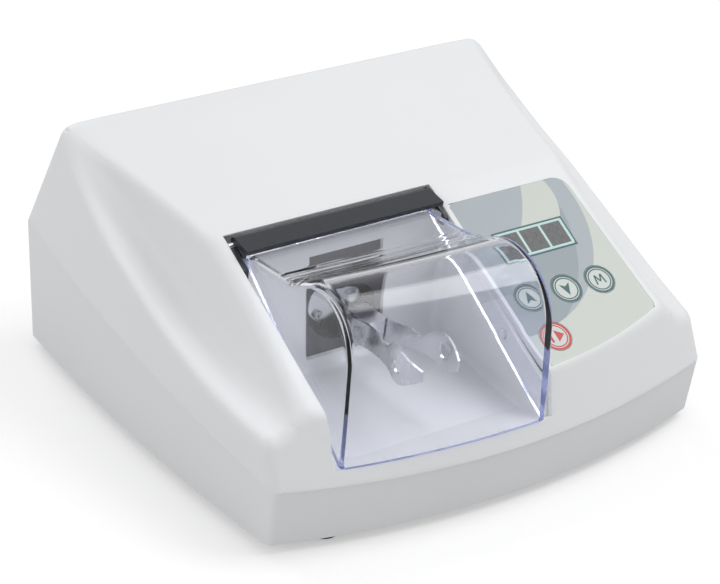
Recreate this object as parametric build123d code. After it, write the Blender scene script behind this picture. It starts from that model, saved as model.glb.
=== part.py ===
from build123d import *
import math
import os

# Bench-top dental amalgamator: a low wedge-shaped case with a clear-lidded mixing chamber
# on the left and a key panel on the right. Millimetres, +Z up, the user stands at -Y.
# The origin is under the middle of the case, on the surface that the feet stand on.

# ---------------------------------------------------------------- driving dimensions
case_depth = 218.2          # front of the case to its rear wall, at the parting line
rear_half_width = 130.0     # at the parting line, rear corner
front_half_width = 118.5    # at the parting line, front corner
front_sagitta = 17.0        # how far the bowed front stands ahead of its corners
side_bow = 4.9              # bulge of each side between its corners
wall = 3.0                  # moulded wall of both housings
foot_height = 5.0
floor_thickness = 3.0

part_z_front = 33.9         # height of the parting line at the front corners
part_z_rear = 64.5          # and at the rear wall
base_step = 0.4             # the base stands back this much under the upper housing
base_draft_front = 0.062    # lean of the base walls, outwards per millimetre of height
base_draft_rear = 0.092
base_draft_side = 0.018

upper_lean_front = 0.486    # lean of the upper housing's faces, inwards per millimetre
upper_lean_rear = 0.19
upper_lean_side_rear = 0.245
upper_lean_side_front = 0.13
corner_rear = 4.0           # plan radii of the case corners
corner_front = 4.0

kink_back = 111.9           # from the front of the case to the line where the top breaks
kink_z = 101.4
top_rise = 0.1396           # the top plane climbs to the rear by this per millimetre
front_fall = 0.46           # the front plane falls to the front by this
kink_radius = 26.0
ridge_draft = 0.20          # the hood's side walls lean out going down
ridge_radius = 5.0
side_crease_x = 122.0       # where the height of the side crease is measured

# hood edge: (behind the front, half width at the roof, roof height there)
hood_line = [(222, 115.5, 116.5), (207.6, 114.5, 115.0), (187, 111.3, 111.9), (163, 106.0, 108.6),
             (141, 101.8, 105.5), (120, 98.5, 102.5), (95, 97.2, 93.6), (70, 97.8, 82.1),
             (26, 101.0, 61.9), (-5, 103.5, 47.6)]
# shoulder: (behind the front, valley half width, valley height, side crease height)
shoulder_line = [(220, 118.5, 118.0, 117.9), (207.6, 116.5, 112.3, 111.6),
                 (194.4, 115.0, 106.0, 104.9), (174.4, 112.0, 96.3, 95.6),
                 (154.4, 108.5, 85.9, 87.1), (134.4, 105.5, 76.3, 80.3),
                 (114.4, 104.0, 69.5, 73.3), (94.4, 103.2, 64.4, 67.2),
                 (74.4, 103.2, 60.3, 61.8), (54.4, 104.0, 57.5, 57.3),
                 (34.4, 105.5, 55.4, 54.0), (10.0, 107.0, 53.4, 50.6), (-5.0, 108.0, 52.2, 48.4)]

sill_z = 39.0               # top of the strip that the upper housing keeps under the lid
fit_gap = 0.1               # between pieces that are seated on each other
clear_gap = 0.3             # between pieces that move past each other
crease_radius = 2.5         # along the front edge of the hood

# opening of the mixing chamber, seen from above: (x, behind the front)
opening_line = [(-89.8, 112.1), (21.0, 112.1), (22.2, 12.0), (16.8, -2.0), (16.8, -15.0),
                (-91.5, -15.0), (-91.0, 10.0), (-89.8, 20.0)]

# mixing chamber
tub_wall = 2.2
tub_floor_z = 32.5
tub_left = -88.9            # inner faces at the floor
tub_right = 18.5
tub_rear_back = 93.7        # inner rear face at the floor, behind the front
tub_rear_lean = 0.133
tub_left_draft = 0.013
tub_right_draft = 0.037
tub_floor_radius = 9.0
tub_corner_radius = 3.0
tub_ramp_back = 26.0        # the floor climbs to the sill in front of this
tub_ramp_slope = 0.28
hinge_ledge_z = 93.5        # ledge under the hinge
wall_hole = (-50.5, -10.5, 36.5, 84.5)     # hole in the rear wall: x from, to, z from, to

# lid and its hinge
pivot_back = 108.0
pivot_z = 97.9
barrel_radius = 3.4
bar_front_back = 97.1       # front edge of the hinge bar
bar_low_z = 98.2            # underside of the bar's flat arm
bar_thickness = 2.0         # of the arm at its front edge
bar_left = -86.2
bar_right = 18.8
bracket_drop = 0.9          # top edge of the brackets under the front plane
bracket_front_back = 94.5
bracket_low_z = 88.0
hinge_pin_radius = 1.5
hinge_pin_grip = 6.2        # length of each pin inside the bar
pin_clearance = 0.05
lid_thickness = 2.8
lid_left = -88.3            # outer faces at the sill
lid_right = 14.7
lid_side_draft = 0.0235
lid_front_back = 2.7        # outer front face at the sill
lid_front_lean = 0.0789
lid_front_top = (9.8, 129.7)     # corner of the side outline, before its large round
lid_valley = (63.5, 102.4)       # corner of the side outline, before its hollow round
lid_rear = (97.9, 98.0)          # where the sheet reaches the hinge bar
lid_front_radius = 27.2
lid_valley_radius = 25.0
lid_edge_radius = 4.5
lid_tongue = 6.5            # length of the flat tongue under the hinge bar
lid_skirt_low = 40.5        # lower edge of the lid's sides: height at the front
lid_skirt_high = 93.0       # and at the rear
lid_skirt_back = 93.5       # where the sides end, behind the front
lid_gap = 0.3               # closed lid above the sill

# key panel: x, and distance down the front plane from the line where the top breaks
panel_left = 23.8
panel_right_top = 90.6
panel_right_low = 94.5
panel_top = 12.9
panel_low_right = 92.5
panel_low_left = 106.6
panel_low_middle = (62.0, 101.9)
panel_radius_top = 8.0
panel_radius_low = 4.0
panel_recess = 0.6
overlay_thickness = 0.5
key_radius = 7.6
key_places = {"key_mode": (75.1, 71.3), "key_down": (55.8, 71.2), "key_up": (35.8, 70.7),
              "key_start": (36.0, 92.6)}
key_travel = 0.3
key_flange = 1.4            # the flange stands out this much around the key
key_flange_height = 1.1
display_left, display_right = 35.5, 75.9
display_top, display_low = 34.1, 50.5
lens_thickness = 1.5
lens_ledge = 1.6            # width of the shelf that carries the lens
board_depth = 10.0          # top of the control board under the front plane
board_thickness = 1.6
board_left, board_right = 31.0, 88.0
board_top, board_low = 26.0, 100.0
board_posts = [(34.0, 29.0), (84.5, 31.0), (84.5, 96.0), (56.0, 97.0)]
post_radius = 3.0
module_width, module_height = 37.6, 19.0
digit_count = 3
tact_width = 6.2
tact_height = 3.5
tact_stem_radius = 1.75

# shaker arm and its drive, all on one axis that runs from front to back
arm_x = -31.0
arm_z = 58.0
swing_back = 120.0          # centre of the ball that the arm swings on
arm_swing = 5.0             # degrees each way
ball_radius = 8.0
ball_clearance = 0.05
hub_radius = 13.0
hub_front = 14.0            # from the ball's centre to the front of the hub
hub_rear = 7.0
arm_rod_radius = 5.5
head_rear_back = 90.0       # the flat-sided head at the front of the arm
head_front_back = 72.0
head_width = 10.0
head_height = 13.0
steady_radius = 2.0         # pin under the hub that keeps it from turning
steady_back = 115.0
steady_low_z = 36.0
steady_clearance = 0.4
prong_thickness = 1.2
# outer face of a prong from its root to its tip: (behind the front, distance from the arm axis)
prong_line = [(60.0, 8.4), (50.0, 10.6), (45.0, 12.0), (38.0, 13.2), (31.0, 12.4), (25.0, 10.2)]
prong_root_back = 88.0
# side outline of a prong: (behind the front, height)
prong_top = [(88.0, 61.5), (76.0, 64.0), (66.0, 65.0), (57.5, 65.6), (50.5, 65.8), (46.8, 69.6),
             (41.8, 71.9), (36.0, 71.4), (30.0, 69.8)]
prong_low = [(24.6, 68.0), (24.2, 64.2), (29.0, 59.8), (34.0, 56.6), (41.0, 56.2), (47.5, 57.8),
             (52.0, 56.8), (60.0, 54.5), (68.0, 52.6), (78.0, 50.8), (88.0, 50.4)]
cup_hole = (38.5, 63.6)     # behind the front, height
cup_hole_radius = 3.0
fork_bolt_radius = 1.5
fork_bolt_backs = [77.0, 85.0]
fork_bolt_z = 57.0

shaft_radius = 4.0
shaft_clearance = 0.05
shaft_front_back = 115.0
shaft_rear_back = 207.0
weight_radius = 20.0
weight_front_back = 130.5
weight_thickness = 6.0
face_plate_back = 138.0     # upright of the carriage, in front of the motor
plate_thickness = 3.0
motor_radius = 31.0
motor_length = 59.0
motor_wall = 2.0
motor_end_thickness = 4.0
bearing_radius = 11.0
bearing_width = 7.0
bearing_boss = 3.0
stator_gap = 0.5
rotor_radius = 18.0
rotor_length = 35.0
stator_length = 39.0
carriage_z = 22.0           # underside of the carriage plate
carriage_thickness = 2.5
carriage_left, carriage_right = -75.0, 13.0
carriage_front_back, carriage_rear_back = 108.0, 206.0
isolator_radius = 7.0
isolator_places = [(-66.0, 120.0), (4.0, 120.0), (-66.0, 198.0), (4.0, 198.0)]
transport_places = [(-52.0, 130.0), (-10.0, 130.0)]

fork_nut_radius = 3.1
cap_screw_radius = 1.25     # M2.5
cap_screw_head = 2.2
cap_screw_head_height = 1.6
cap_screw_circle = 10.3
motor_screw_circle = 24.0
steady_guide = 4.0
steady_overlap = 6.0        # how far the steady pin reaches into its guides
transport_radius = 2.5      # M5
transport_head_radius = 5.0
transport_head_height = 3.0
floor_slot_count = 6
floor_slot_pitch = 8.0

# guard plate behind the hole in the chamber's rear wall
guard_thickness = 1.2
guard_margin = 5.5
guard_hole_radius = 17.0
guard_seat_gap = 0.4

# lid switch in the right wall of the chamber
switch_back = 43.0
switch_z = 60.2
plunger_radius = 1.5
plunger_reach = 1.6
plunger_travel = 1.5
switch_size = (6.5, 12.8, 5.8)

# screws of the case, feet
screw_radius = 2.0          # M4
screw_head_radius = 3.6
screw_head_height = 2.4
small_screw_radius = 1.5    # M3
small_screw_head = 2.75
small_screw_head_height = 1.8
small_screw_bite = 2.6
board_screw_radius = 1.25   # M2.5
board_screw_head = 2.3
board_screw_head_height = 1.5
board_screw_bite = 4.5
post_outer_radius = 5.0
case_screw_places = [(-107.0, 30.0), (107.0, 30.0), (-112.0, 195.0), (112.0, 195.0)]
case_screw_sink_front = 18.0     # how far its head sits up inside the post
case_screw_sink_rear = 42.0
case_screw_length = 25.0
foot_places = [(-86.0, 24.0), (86.0, 24.0), (-100.0, 190.0), (100.0, 190.0)]
foot_radius = 8.0
foot_seat = 2.5             # seat of the screw head inside the foot
foot_boss_height = 4.0

# rear panel and what it holds
rear_panel_back = 207.6     # inner face, behind the front
rear_panel_thickness = 2.0
rear_panel_left, rear_panel_right = 29.0, 123.0
rear_panel_low, rear_panel_high = 12.0, 60.0
window_left, window_right = 37.0, 115.0
window_low, window_high = 17.0, 55.0
inlet_x, inlet_z = 58.0, 36.0
inlet_body = (27.0, 32.0, 26.0)      # width, height, depth behind the panel
inlet_flange = (31.0, 36.0, 2.4)
socket_size = (24.6, 16.6, 17.0)
socket_z = 42.8
drawer_size = (21.0, 9.4, 22.0)
drawer_z = 25.4
drawer_travel = 12.0
rocker_x, rocker_z = 97.0, 36.0
rocker_frame_size = (15.0, 21.0, 2.0)
rocker_body = (13.0, 19.0, 12.0)
rocker_width = 10.0
rocker_half = 7.4
rocker_tilt = 10.0          # degrees each side of level
rocker_pin_radius = 1.2
rocker_stub = 0.8
drawer_wall = 1.2
fuse_radius = 2.5
pin_reach = 10.5            # length of the inlet's pins
rear_pad_radius = 3.5
rear_screw_inset = 4.0
vent_width = 2.5
vent_pitch = 6.0
vent_count = 11
vent_left = -104.0
vent_low, vent_high = 70.0, 94.0

# power board
power_left, power_right = 28.0, 108.0
power_front_back, power_rear_back = 112.0, 172.0
power_standoff = 6.0
transformer_size = (42.0, 36.0, 34.0)

front_y = -case_depth / 2
rear_y = case_depth / 2


def behind(distance):
    """Y of a place that far behind the front of the case."""
    return front_y + distance


kink_y = behind(kink_back)
corner_y = behind(front_sagitta)
side_length = rear_y - corner_y


def roof_z(y):
    """Height of the hood's roof over y, without its rounded break."""
    if y > kink_y:
        return kink_z + top_rise * (y - kink_y)
    return kink_z - front_fall * (kink_y - y)


def part_z(y):
    """Height of the sloping parting plane over y."""
    return part_z_front + (part_z_rear - part_z_front) * (y - corner_y) / side_length


# ---------------------------------------------------------------- case outlines
def outline(z, half_rear, y_rear, half_front, y_corner, y_apex, r_rear, r_front):
    """Face at height z: straight rear, bowed sides and front, rounded corners."""
    y_mid = (y_rear + y_corner) / 2
    half_mid = (half_rear + half_front) / 2 + side_bow
    with BuildSketch(Plane.XY.offset(z)) as sketch:
        with BuildLine():
            Line((half_rear, y_rear), (-half_rear, y_rear))
            ThreePointArc((-half_rear, y_rear), (-half_mid, y_mid), (-half_front, y_corner))
            ThreePointArc((-half_front, y_corner), (0, y_apex), (half_front, y_corner))
            ThreePointArc((half_front, y_corner), (half_mid, y_mid), (half_rear, y_rear))
        make_face()
        corners = sketch.vertices()
        fillet([v for v in corners if v.Y > 0], r_rear)
        fillet([v for v in sketch.vertices() if abs(v.Y - y_corner) < 0.01], r_front)
    return sketch.sketch


def base_outline(z, inset):
    """Outline of the base at height z, drawn in by inset."""
    up_front = z - part_z_front
    up_rear = z - part_z_rear
    side = base_draft_side * up_front - base_step - inset
    return outline(z, rear_half_width + side, rear_y - base_step + base_draft_rear * up_rear - inset,
                   front_half_width + side, corner_y + base_step - base_draft_front * up_front + inset,
                   front_y + base_step - base_draft_front * up_front + inset,
                   max(corner_rear - inset, 1.5), max(corner_front - inset, 1.5))


def upper_outline(z, inset):
    """Outline of the upper housing's leaning walls at height z, drawn in by inset."""
    up_front = z - part_z_front
    up_rear = z - part_z_rear
    lean = math.hypot(1, upper_lean_front)
    apex_up = z - part_z(front_y)
    return outline(z, rear_half_width - upper_lean_side_rear * up_rear - inset,
                   rear_y - upper_lean_rear * up_rear - inset,
                   front_half_width - upper_lean_side_front * up_front - inset,
                   corner_y + upper_lean_front * up_front + inset * lean,
                   front_y + upper_lean_front * apex_up + inset * lean,
                   max(corner_rear - inset, 1.5), max(corner_front - inset, 1.5))


big = 800.0
top_z = 125.0               # above everything in the case


def parting_halfspace(side, gap=0.0):
    """Big block above (side 1) or below (side -1) the parting plane, gap away from it."""
    slope = math.degrees(math.atan2(part_z_rear - part_z_front, side_length))
    block = Box(big, big, big, align=(Align.CENTER, Align.CENTER, Align.MIN if side > 0 else Align.MAX))
    return Location((0, corner_y, part_z_front + side * gap), (slope, 0, 0)) * block


def base_block(inset, z_low):
    """Solid of the base's outer form drawn in by inset, from z_low to over the parting line."""
    return loft([base_outline(z_low, inset).face(), base_outline(part_z_rear + 6, inset).face()])


def side_walls_block(inset):
    """Solid within the upper housing's leaning walls, without its roof."""
    return loft([upper_outline(part_z_front - 8, inset).face(), upper_outline(top_z, inset).face()])


def roof_prism(inset):
    """Everything under the roof line: top plane, rounded break and front plane."""
    drop_top = inset * math.hypot(1, top_rise)
    drop_front = inset * math.hypot(1, front_fall)
    break_y = kink_y + (drop_front - drop_top) / (front_fall - top_rise)
    break_z = roof_z(kink_y) - drop_top + top_rise * (break_y - kink_y)
    reach = 140.0
    with BuildSketch(Plane.YZ) as sketch:
        with BuildLine():
            Polyline((-reach, 0), (reach, 0), (reach, break_z + top_rise * (reach - break_y)),
                     (break_y, break_z), (-reach, break_z - front_fall * (break_y + reach)), (-reach, 0))
        make_face()
        fillet(sketch.vertices().sort_by_distance((break_y, break_z))[0], kink_radius)
    return extrude(sketch.sketch, amount=big / 2, both=True)


def hood_outline(z, inset):
    """Plan of the hood at height z: its flared sides follow hood_line, leaning by ridge_draft."""
    pts = [(half + ridge_draft * (roof - z) - inset, behind(back)) for back, half, roof in hood_line]
    with BuildSketch(Plane.XY.offset(z)) as sketch:
        with BuildLine():
            Spline(*pts)
            Spline(*[(-x, y) for x, y in pts])
            Line(pts[0], (-pts[0][0], pts[0][1]))
            Line(pts[-1], (-pts[-1][0], pts[-1][1]))
        make_face()
    return sketch.sketch


def hood_block(inset):
    """The raised middle of the case between its two ridges, which are rounded on the outside."""
    hood = loft([hood_outline(30, inset).face(), hood_outline(top_z, inset).face()])
    hood = hood & roof_prism(inset)
    if inset > 0:
        return hood
    ridges = [e for e in hood.edges() if abs(e.center().X) > 90 and e.center().Z > 45 and e.length > 15]
    return hood.fillet(ridge_radius, ridges)


def shoulder_block(inset):
    """Everything under the two side shoulders and the valleys beside the hood."""
    reach = 160.0
    sections = []
    for back, valley_x, valley_z, crease_z in shoulder_line:
        x = valley_x - inset
        slope = (crease_z - valley_z) / (side_crease_x - valley_x)
        outer_z = valley_z - inset + slope * (reach - x)
        with BuildSketch(Plane.XZ.offset(-behind(back))) as sketch:
            with BuildLine():
                Polyline((-reach, 0), (-reach, outer_z), (-x, valley_z - inset), (x, valley_z - inset),
                         (reach, outer_z), (reach, 0), (-reach, 0))
            make_face()
        sections.append(sketch.sketch.face())
    return loft(sections)


def upper_block(inset):
    """Outer form of the upper housing, drawn in by inset, from under the parting line up."""
    housing = side_walls_block(inset) & (hood_block(inset) + shoulder_block(inset))
    if inset > 0:
        return housing
    creases = [e for e in housing.edges() if abs(e.center().X) < 60 and e.length > 60
               and e.center().Y < -80 and e.center().Z > 48]
    return housing.fillet(crease_radius, creases)


# ---------------------------------------------------------------- small helpers
def block(x_low, x_high, y_low, y_high, z_low, z_high):
    """Box between its lowest and highest corners."""
    size = Box(x_high - x_low, y_high - y_low, z_high - z_low, align=(Align.MIN, Align.MIN, Align.MIN))
    return Pos(x_low, y_low, z_low) * size


def rod(radius, start, end):
    """Round rod between two points."""
    way = Vector(*end) - Vector(*start)
    round_bar = Cylinder(radius, way.length, align=(Align.CENTER, Align.CENTER, Align.MIN))
    return Plane(origin=start, z_dir=way) * round_bar


def side_prism(points, x_low, x_high):
    """Solid of a side outline, given as (behind the front, height), between two x."""
    with BuildSketch(Plane.YZ.offset(x_low)) as sketch:
        with BuildLine():
            Polyline(*[(behind(d), z) for d, z in points], close=True)
        make_face()
    return extrude(sketch.sketch, amount=x_high - x_low)


def plan_prism(points, z_low, z_high):
    """Solid of a plan outline, given as (x, behind the front), between two heights."""
    with BuildSketch(Plane.XY.offset(z_low)) as sketch:
        with BuildLine():
            Polyline(*[(x, behind(d)) for x, d in points], close=True)
        make_face()
    return extrude(sketch.sketch, amount=z_high - z_low)


def joined(pieces):
    """Several separate solids as one shape."""
    return Compound(children=list(pieces))


front_plane = Plane(origin=(0, kink_y, kink_z), x_dir=(1, 0, 0), z_dir=(0, -front_fall, 1))


def on_panel(x, s, depth=0.0):
    """Location on the front plane: x, s down the slope, depth under the surface."""
    return front_plane.location * Pos(x, -s, -depth)


def panel_rod(radius, x, s, depth_low, depth_high):
    """Round piece square to the front plane, between two depths under it."""
    bar = Cylinder(radius, depth_low - depth_high, align=(Align.CENTER, Align.CENTER, Align.MIN))
    return on_panel(x, s, depth_low) * bar


def panel_block(left, right, top, low, depth_low, depth_high):
    """Box in line with the front plane, between two depths under it."""
    size = Box(right - left, low - top, depth_low - depth_high, align=(Align.MIN, Align.MIN, Align.MIN))
    return on_panel(left, low, depth_low) * size


# ---------------------------------------------------------------- housings
post_hole_radius = screw_radius + pin_clearance
window_y = rear_y - 20


def case_posts(radius):
    """Four screw posts from the floor to the roof."""
    return [rod(radius, (x, behind(d), foot_height), (x, behind(d), top_z)) for x, d in case_screw_places]


def case_screw_seat(d):
    """Height of the seat of the case screw at d behind the front."""
    sink = case_screw_sink_front if d < case_depth / 2 else case_screw_sink_rear
    return foot_height + sink


def panel_outline(grow):
    """Face of the key panel's outline, on the front plane, grown by a margin."""
    with BuildSketch(Plane.XY) as sketch:
        with BuildLine():
            Line((panel_left, -panel_top), (panel_right_top, -panel_top))
            Line((panel_right_top, -panel_top), (panel_right_low, -panel_low_right))
            ThreePointArc((panel_right_low, -panel_low_right),
                          (panel_low_middle[0], -panel_low_middle[1]), (panel_left, -panel_low_left))
            Line((panel_left, -panel_low_left), (panel_left, -panel_top))
        make_face()
        corner = sketch.vertices().sort_by_distance((panel_right_top, -panel_top))[0]
        fillet(corner, panel_radius_top)
        others = [v for v in sketch.vertices() if abs(v.X - panel_left) < 0.1 or v.Y < -panel_low_right + 0.1]
        fillet(others, panel_radius_low)
        if grow:
            offset(amount=grow)
    return sketch.sketch


def opening_block():
    """What the opening of the mixing chamber takes out of the upper housing."""
    return plan_prism(opening_line, sill_z, top_z + 10)


def rear_vents():
    """Slots for the motor's air in the rear wall."""
    slots = []
    for i in range(vent_count):
        x = vent_left + i * vent_pitch
        slots.append(block(x, x + vent_width, rear_y - 30, rear_y + 5, vent_low, vent_high))
    return slots


def upper_shell():
    """Upper housing: hood with its two shoulders, open over the mixing chamber."""
    hollow = upper_block(wall)
    shell = (upper_block(0) & parting_halfspace(1)) - hollow
    posts = Compound(children=case_posts(post_outer_radius)) & hollow & parting_halfspace(1)
    shell = shell + posts
    for x, s in board_posts:
        shell = shell + panel_rod(post_radius, x, s, board_depth, wall - fit_gap)
    for x, d in case_screw_places:
        top = case_screw_seat(d) + case_screw_length + 1
        shell = shell - rod(post_hole_radius, (x, behind(d), foot_height), (x, behind(d), top))
    shell = shell - opening_block()
    shell = shell - rear_vents()
    recess = front_plane.location * extrude(panel_outline(fit_gap), amount=-panel_recess)
    shell = shell - recess
    lens_pocket = panel_block(display_left - fit_gap, display_right + fit_gap, display_top - fit_gap,
                              display_low + fit_gap, lens_thickness + fit_gap, -1)
    shell = shell - lens_pocket
    shell = shell - panel_block(display_left + lens_ledge, display_right - lens_ledge,
                                display_top + lens_ledge, display_low - lens_ledge, wall + 1, 0)
    for x, s in key_places.values():
        shell = shell - panel_rod(key_radius + clear_gap, x, s, wall + 1, 0)
    for x, s in board_posts:
        shell = shell - panel_rod(board_screw_radius + fit_gap / 2, x, s, board_depth, wall + 1)
    return shell


def base_shell():
    """Base: shallow tray with the floor, the screw posts and the window for the rear panel."""
    floor_z = foot_height + floor_thickness
    lower = parting_halfspace(-1)
    outer = base_block(0, foot_height) & lower
    hollow = base_block(wall, floor_z)
    shell = outer - hollow
    posts = Compound(children=case_posts(post_outer_radius)) & base_block(wall / 2, foot_height) & lower
    shell = shell + posts
    for x, d in case_screw_places:
        seat = case_screw_seat(d)
        y = behind(d)
        shell = shell - rod(screw_radius + clear_gap, (x, y, 0), (x, y, top_z))
        shell = shell - rod(screw_head_radius + clear_gap, (x, y, 0), (x, y, seat))
    pads = []
    for x, z in rear_panel_screw_places():
        pads.append(rod(rear_pad_radius, (x, behind(rear_panel_back) + rear_panel_thickness, z),
                        (x, rear_y, z)))
    shell = shell + (Compound(children=pads) & base_block(wall / 2, foot_height))
    shell = shell - block(window_left, window_right, window_y, rear_y + 5, window_low, window_high)
    for x, z in rear_panel_screw_places():
        y = behind(rear_panel_back) + rear_panel_thickness
        shell = shell - rod(small_screw_radius + fit_gap / 2, (x, y - 1, z), (x, y + small_screw_bite, z))
    for x, y in power_posts():
        post = rod(post_radius, (x, y, floor_z - 1), (x, y, floor_z + power_standoff))
        hole = rod(small_screw_radius + fit_gap / 2, (x, y, floor_z + 1), (x, y, floor_z + power_standoff + 1))
        shell = shell + post - hole
    for x, d in foot_places:
        y = behind(d)
        shell = shell + rod(post_radius, (x, y, floor_z - 1), (x, y, floor_z + foot_boss_height))
        shell = shell - rod(small_screw_radius + fit_gap / 2, (x, y, 0), (x, y, floor_z + foot_boss_height - 1))
    for x, d in transport_places:
        shell = shell - rod(transport_radius + clear_gap, (x, behind(d), 0), (x, behind(d), floor_z + 1))
    for x, d in isolator_places:
        shell = shell - rod(screw_radius + fit_gap / 2, (x, behind(d), floor_z - 2), (x, behind(d), floor_z + 1))
    for i in range(floor_slot_count):
        x = arm_x - (floor_slot_count - 1) / 2 * floor_slot_pitch + i * floor_slot_pitch
        shell = shell - block(x - 1.5, x + 1.5, behind(150), behind(185), 0, floor_z + 1)
    return shell


# ---------------------------------------------------------------- mixing chamber
def tub_x(z, side):
    """Inner side face of the chamber at height z: side -1 is the left one."""
    if side < 0:
        return tub_left - tub_left_draft * (z - tub_floor_z)
    return tub_right + tub_right_draft * (z - tub_floor_z)


def tub_rear(z):
    """Inner rear face of the chamber at height z, behind the front."""
    return tub_rear_back + tub_rear_lean * (z - tub_floor_z)


def chamber_block(grow):
    """The chamber's hollow, grown by a wall, without a front and open at the top."""
    low = tub_floor_z - grow
    slant = grow * math.hypot(1, tub_rear_lean)
    reach = 40.0
    ramp_z = low + tub_ramp_slope * (tub_ramp_back + reach)
    shelf_z = hinge_ledge_z - grow
    pocket = opening_line[0][1] + grow
    outline_points = [(-reach, ramp_z), (tub_ramp_back, low), (tub_rear(low) + slant, low),
                      (tub_rear(shelf_z) + slant, shelf_z), (pocket, shelf_z), (pocket, top_z), (-reach, top_z)]
    with BuildSketch(Plane.YZ.offset(-150)) as sketch:
        with BuildLine():
            Polyline(*[(behind(d), z) for d, z in outline_points], close=True)
        make_face()
        edge = sketch.vertices().sort_by_distance((behind(tub_rear(low) + slant), low))[0]
        fillet(edge, tub_floor_radius + grow)
    body = extrude(sketch.sketch, amount=300)
    faces = []
    for z in (low - 10, top_z + 10):
        left = tub_x(z, -1) - grow
        right = tub_x(z, 1) + grow
        with BuildSketch(Plane.XY.offset(z)) as plan:
            with BuildLine():
                Polyline((left, -200), (right, -200), (right, 200), (left, 200), close=True)
            make_face()
        faces.append(plan.sketch.face())
    return body & loft(faces)


def round_chamber(shape, radius):
    """Round the chamber's rear corners and the edges between its floor and sides."""
    edges = []
    for edge in shape.edges():
        middle = edge.center()
        at_side = min(abs(middle.X - tub_x(middle.Z, -1)), abs(middle.X - tub_x(middle.Z, 1))) < 4
        low_edge = middle.Z < hinge_ledge_z - 4 and middle.Y < behind(tub_rear(middle.Z)) + 4
        inside = middle.Y > behind(-35) and middle.Z > tub_floor_z - 4
        if at_side and low_edge and inside and edge.length > 8:
            edges.append(edge)
    return shape.fillet(radius, edges)


def mixing_chamber_tub():
    """Deep-drawn chamber: floor, sides, leaning rear wall with its hole, ledge under the hinge."""
    outer = round_chamber(chamber_block(tub_wall), tub_corner_radius + tub_wall)
    inner = round_chamber(chamber_block(0), tub_corner_radius)
    tub = outer - inner
    tub = tub & upper_block(wall + fit_gap)
    front_low = tub_floor_z + 16
    keep = base_block(wall + fit_gap, foot_height) + block(-150, 150, -150, 150, front_low, top_z)
    tub = tub & keep
    left, right, low, high = wall_hole
    tub = tub - block(left, right, behind(tub_rear_back - 10), behind(tub_rear_back + 18), low, high)
    for x, z in guard_screw_places():
        y = behind(tub_rear(z))
        tub = tub - rod(small_screw_radius + fit_gap / 2, (x, y + 1, z), (x, y + 20, z))
    x = tub_x(switch_z, 1)
    y = behind(switch_back)
    tub = tub - rod(plunger_radius + clear_gap, (x - 5, y, switch_z), (x + 5, y, switch_z))
    return tub


# ---------------------------------------------------------------- lid and hinge
pivot_y = behind(pivot_back)


def crossing(line_a, line_b):
    """Where two lines meet, each given by two points."""
    (x1, y1), (x2, y2) = line_a
    (x3, y3), (x4, y4) = line_b
    bottom = (x1 - x2) * (y3 - y4) - (y1 - y2) * (x3 - x4)
    a = x1 * y2 - y1 * x2
    b = x3 * y4 - y3 * x4
    return ((a * (x3 - x4) - (x1 - x2) * b) / bottom, (a * (y3 - y4) - (y1 - y2) * b) / bottom)


def moved_in(start, end, inset):
    """The line from start to end, moved to its right by inset."""
    way = (end[0] - start[0], end[1] - start[1])
    length = math.hypot(*way)
    right = (way[1] / length * inset, -way[0] / length * inset)
    return ((start[0] + right[0], start[1] + right[1]), (end[0] + right[0], end[1] + right[1]))


def lid_section(x, inset):
    """Filled side outline of the lid at x: front, large round, hollow, flat rear."""
    bow = front_sagitta * (x / front_half_width) ** 2

    def shifted(point):
        fade = max(0.0, min(1.0, (lid_rear[0] - point[0]) / (lid_rear[0] - lid_front_back)))
        return (point[0] + bow * fade, point[1])

    foot = shifted((lid_front_back - lid_front_lean * 14, sill_z - 14))
    top = shifted(lid_front_top)
    valley = shifted(lid_valley)
    rear = lid_rear
    front_line = moved_in(foot, top, inset)
    slope_line = moved_in(top, valley, inset)
    rear_line = moved_in(valley, rear, inset)
    low = sill_z - 10
    foot = crossing(front_line, ((0, low), (1, low)))
    top = crossing(front_line, slope_line)
    valley = crossing(slope_line, rear_line)
    rear = crossing(rear_line, ((rear[0], 0), (rear[0], 1)))
    with BuildSketch(Plane.YZ.offset(x)) as sketch:
        with BuildLine():
            Polyline(*[(behind(d), z) for d, z in (foot, top, valley, rear, (rear[0], low))], close=True)
        make_face()
        near = sketch.vertices().sort_by_distance((behind(top[0]), top[1]))[0]
        fillet(near, lid_front_radius - inset)
        near = sketch.vertices().sort_by_distance((behind(valley[0]), valley[1]))[0]
        fillet(near, lid_valley_radius + inset)
    return sketch.sketch.face()


def lid_block(inset):
    """Solid under the lid's outer form, drawn in by inset."""
    stations = [lid_left - 6, -60.0, -30.0, 0.0, lid_right + 6]
    form = loft([lid_section(x, inset) for x in stations])
    faces = []
    for z in (sill_z - 20, top_z + 20):
        rise = lid_side_draft * (z - sill_z)
        left = lid_left + rise + inset
        right = lid_right - rise - inset
        with BuildSketch(Plane.XY.offset(z)) as plan:
            with BuildLine():
                Polyline((left, -200), (right, -200), (right, 200), (left, 200), close=True)
            make_face()
        faces.append(plan.sketch.face())
    form = form & loft(faces)
    radius = max(lid_edge_radius - inset, 1.5)
    edges = []
    for edge in form.edges():
        middle = edge.center()
        at_side = abs(abs(middle.X - (lid_left + lid_right) / 2) - (lid_right - lid_left) / 2) < 6
        low_edge = edge.bounding_box().max.Z < sill_z - 5
        rear_edge = edge.bounding_box().min.Y > behind(lid_rear[0] - 1)
        if at_side and not low_edge and not rear_edge:
            edges.append(edge)
    return form.fillet(radius, edges)


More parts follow.
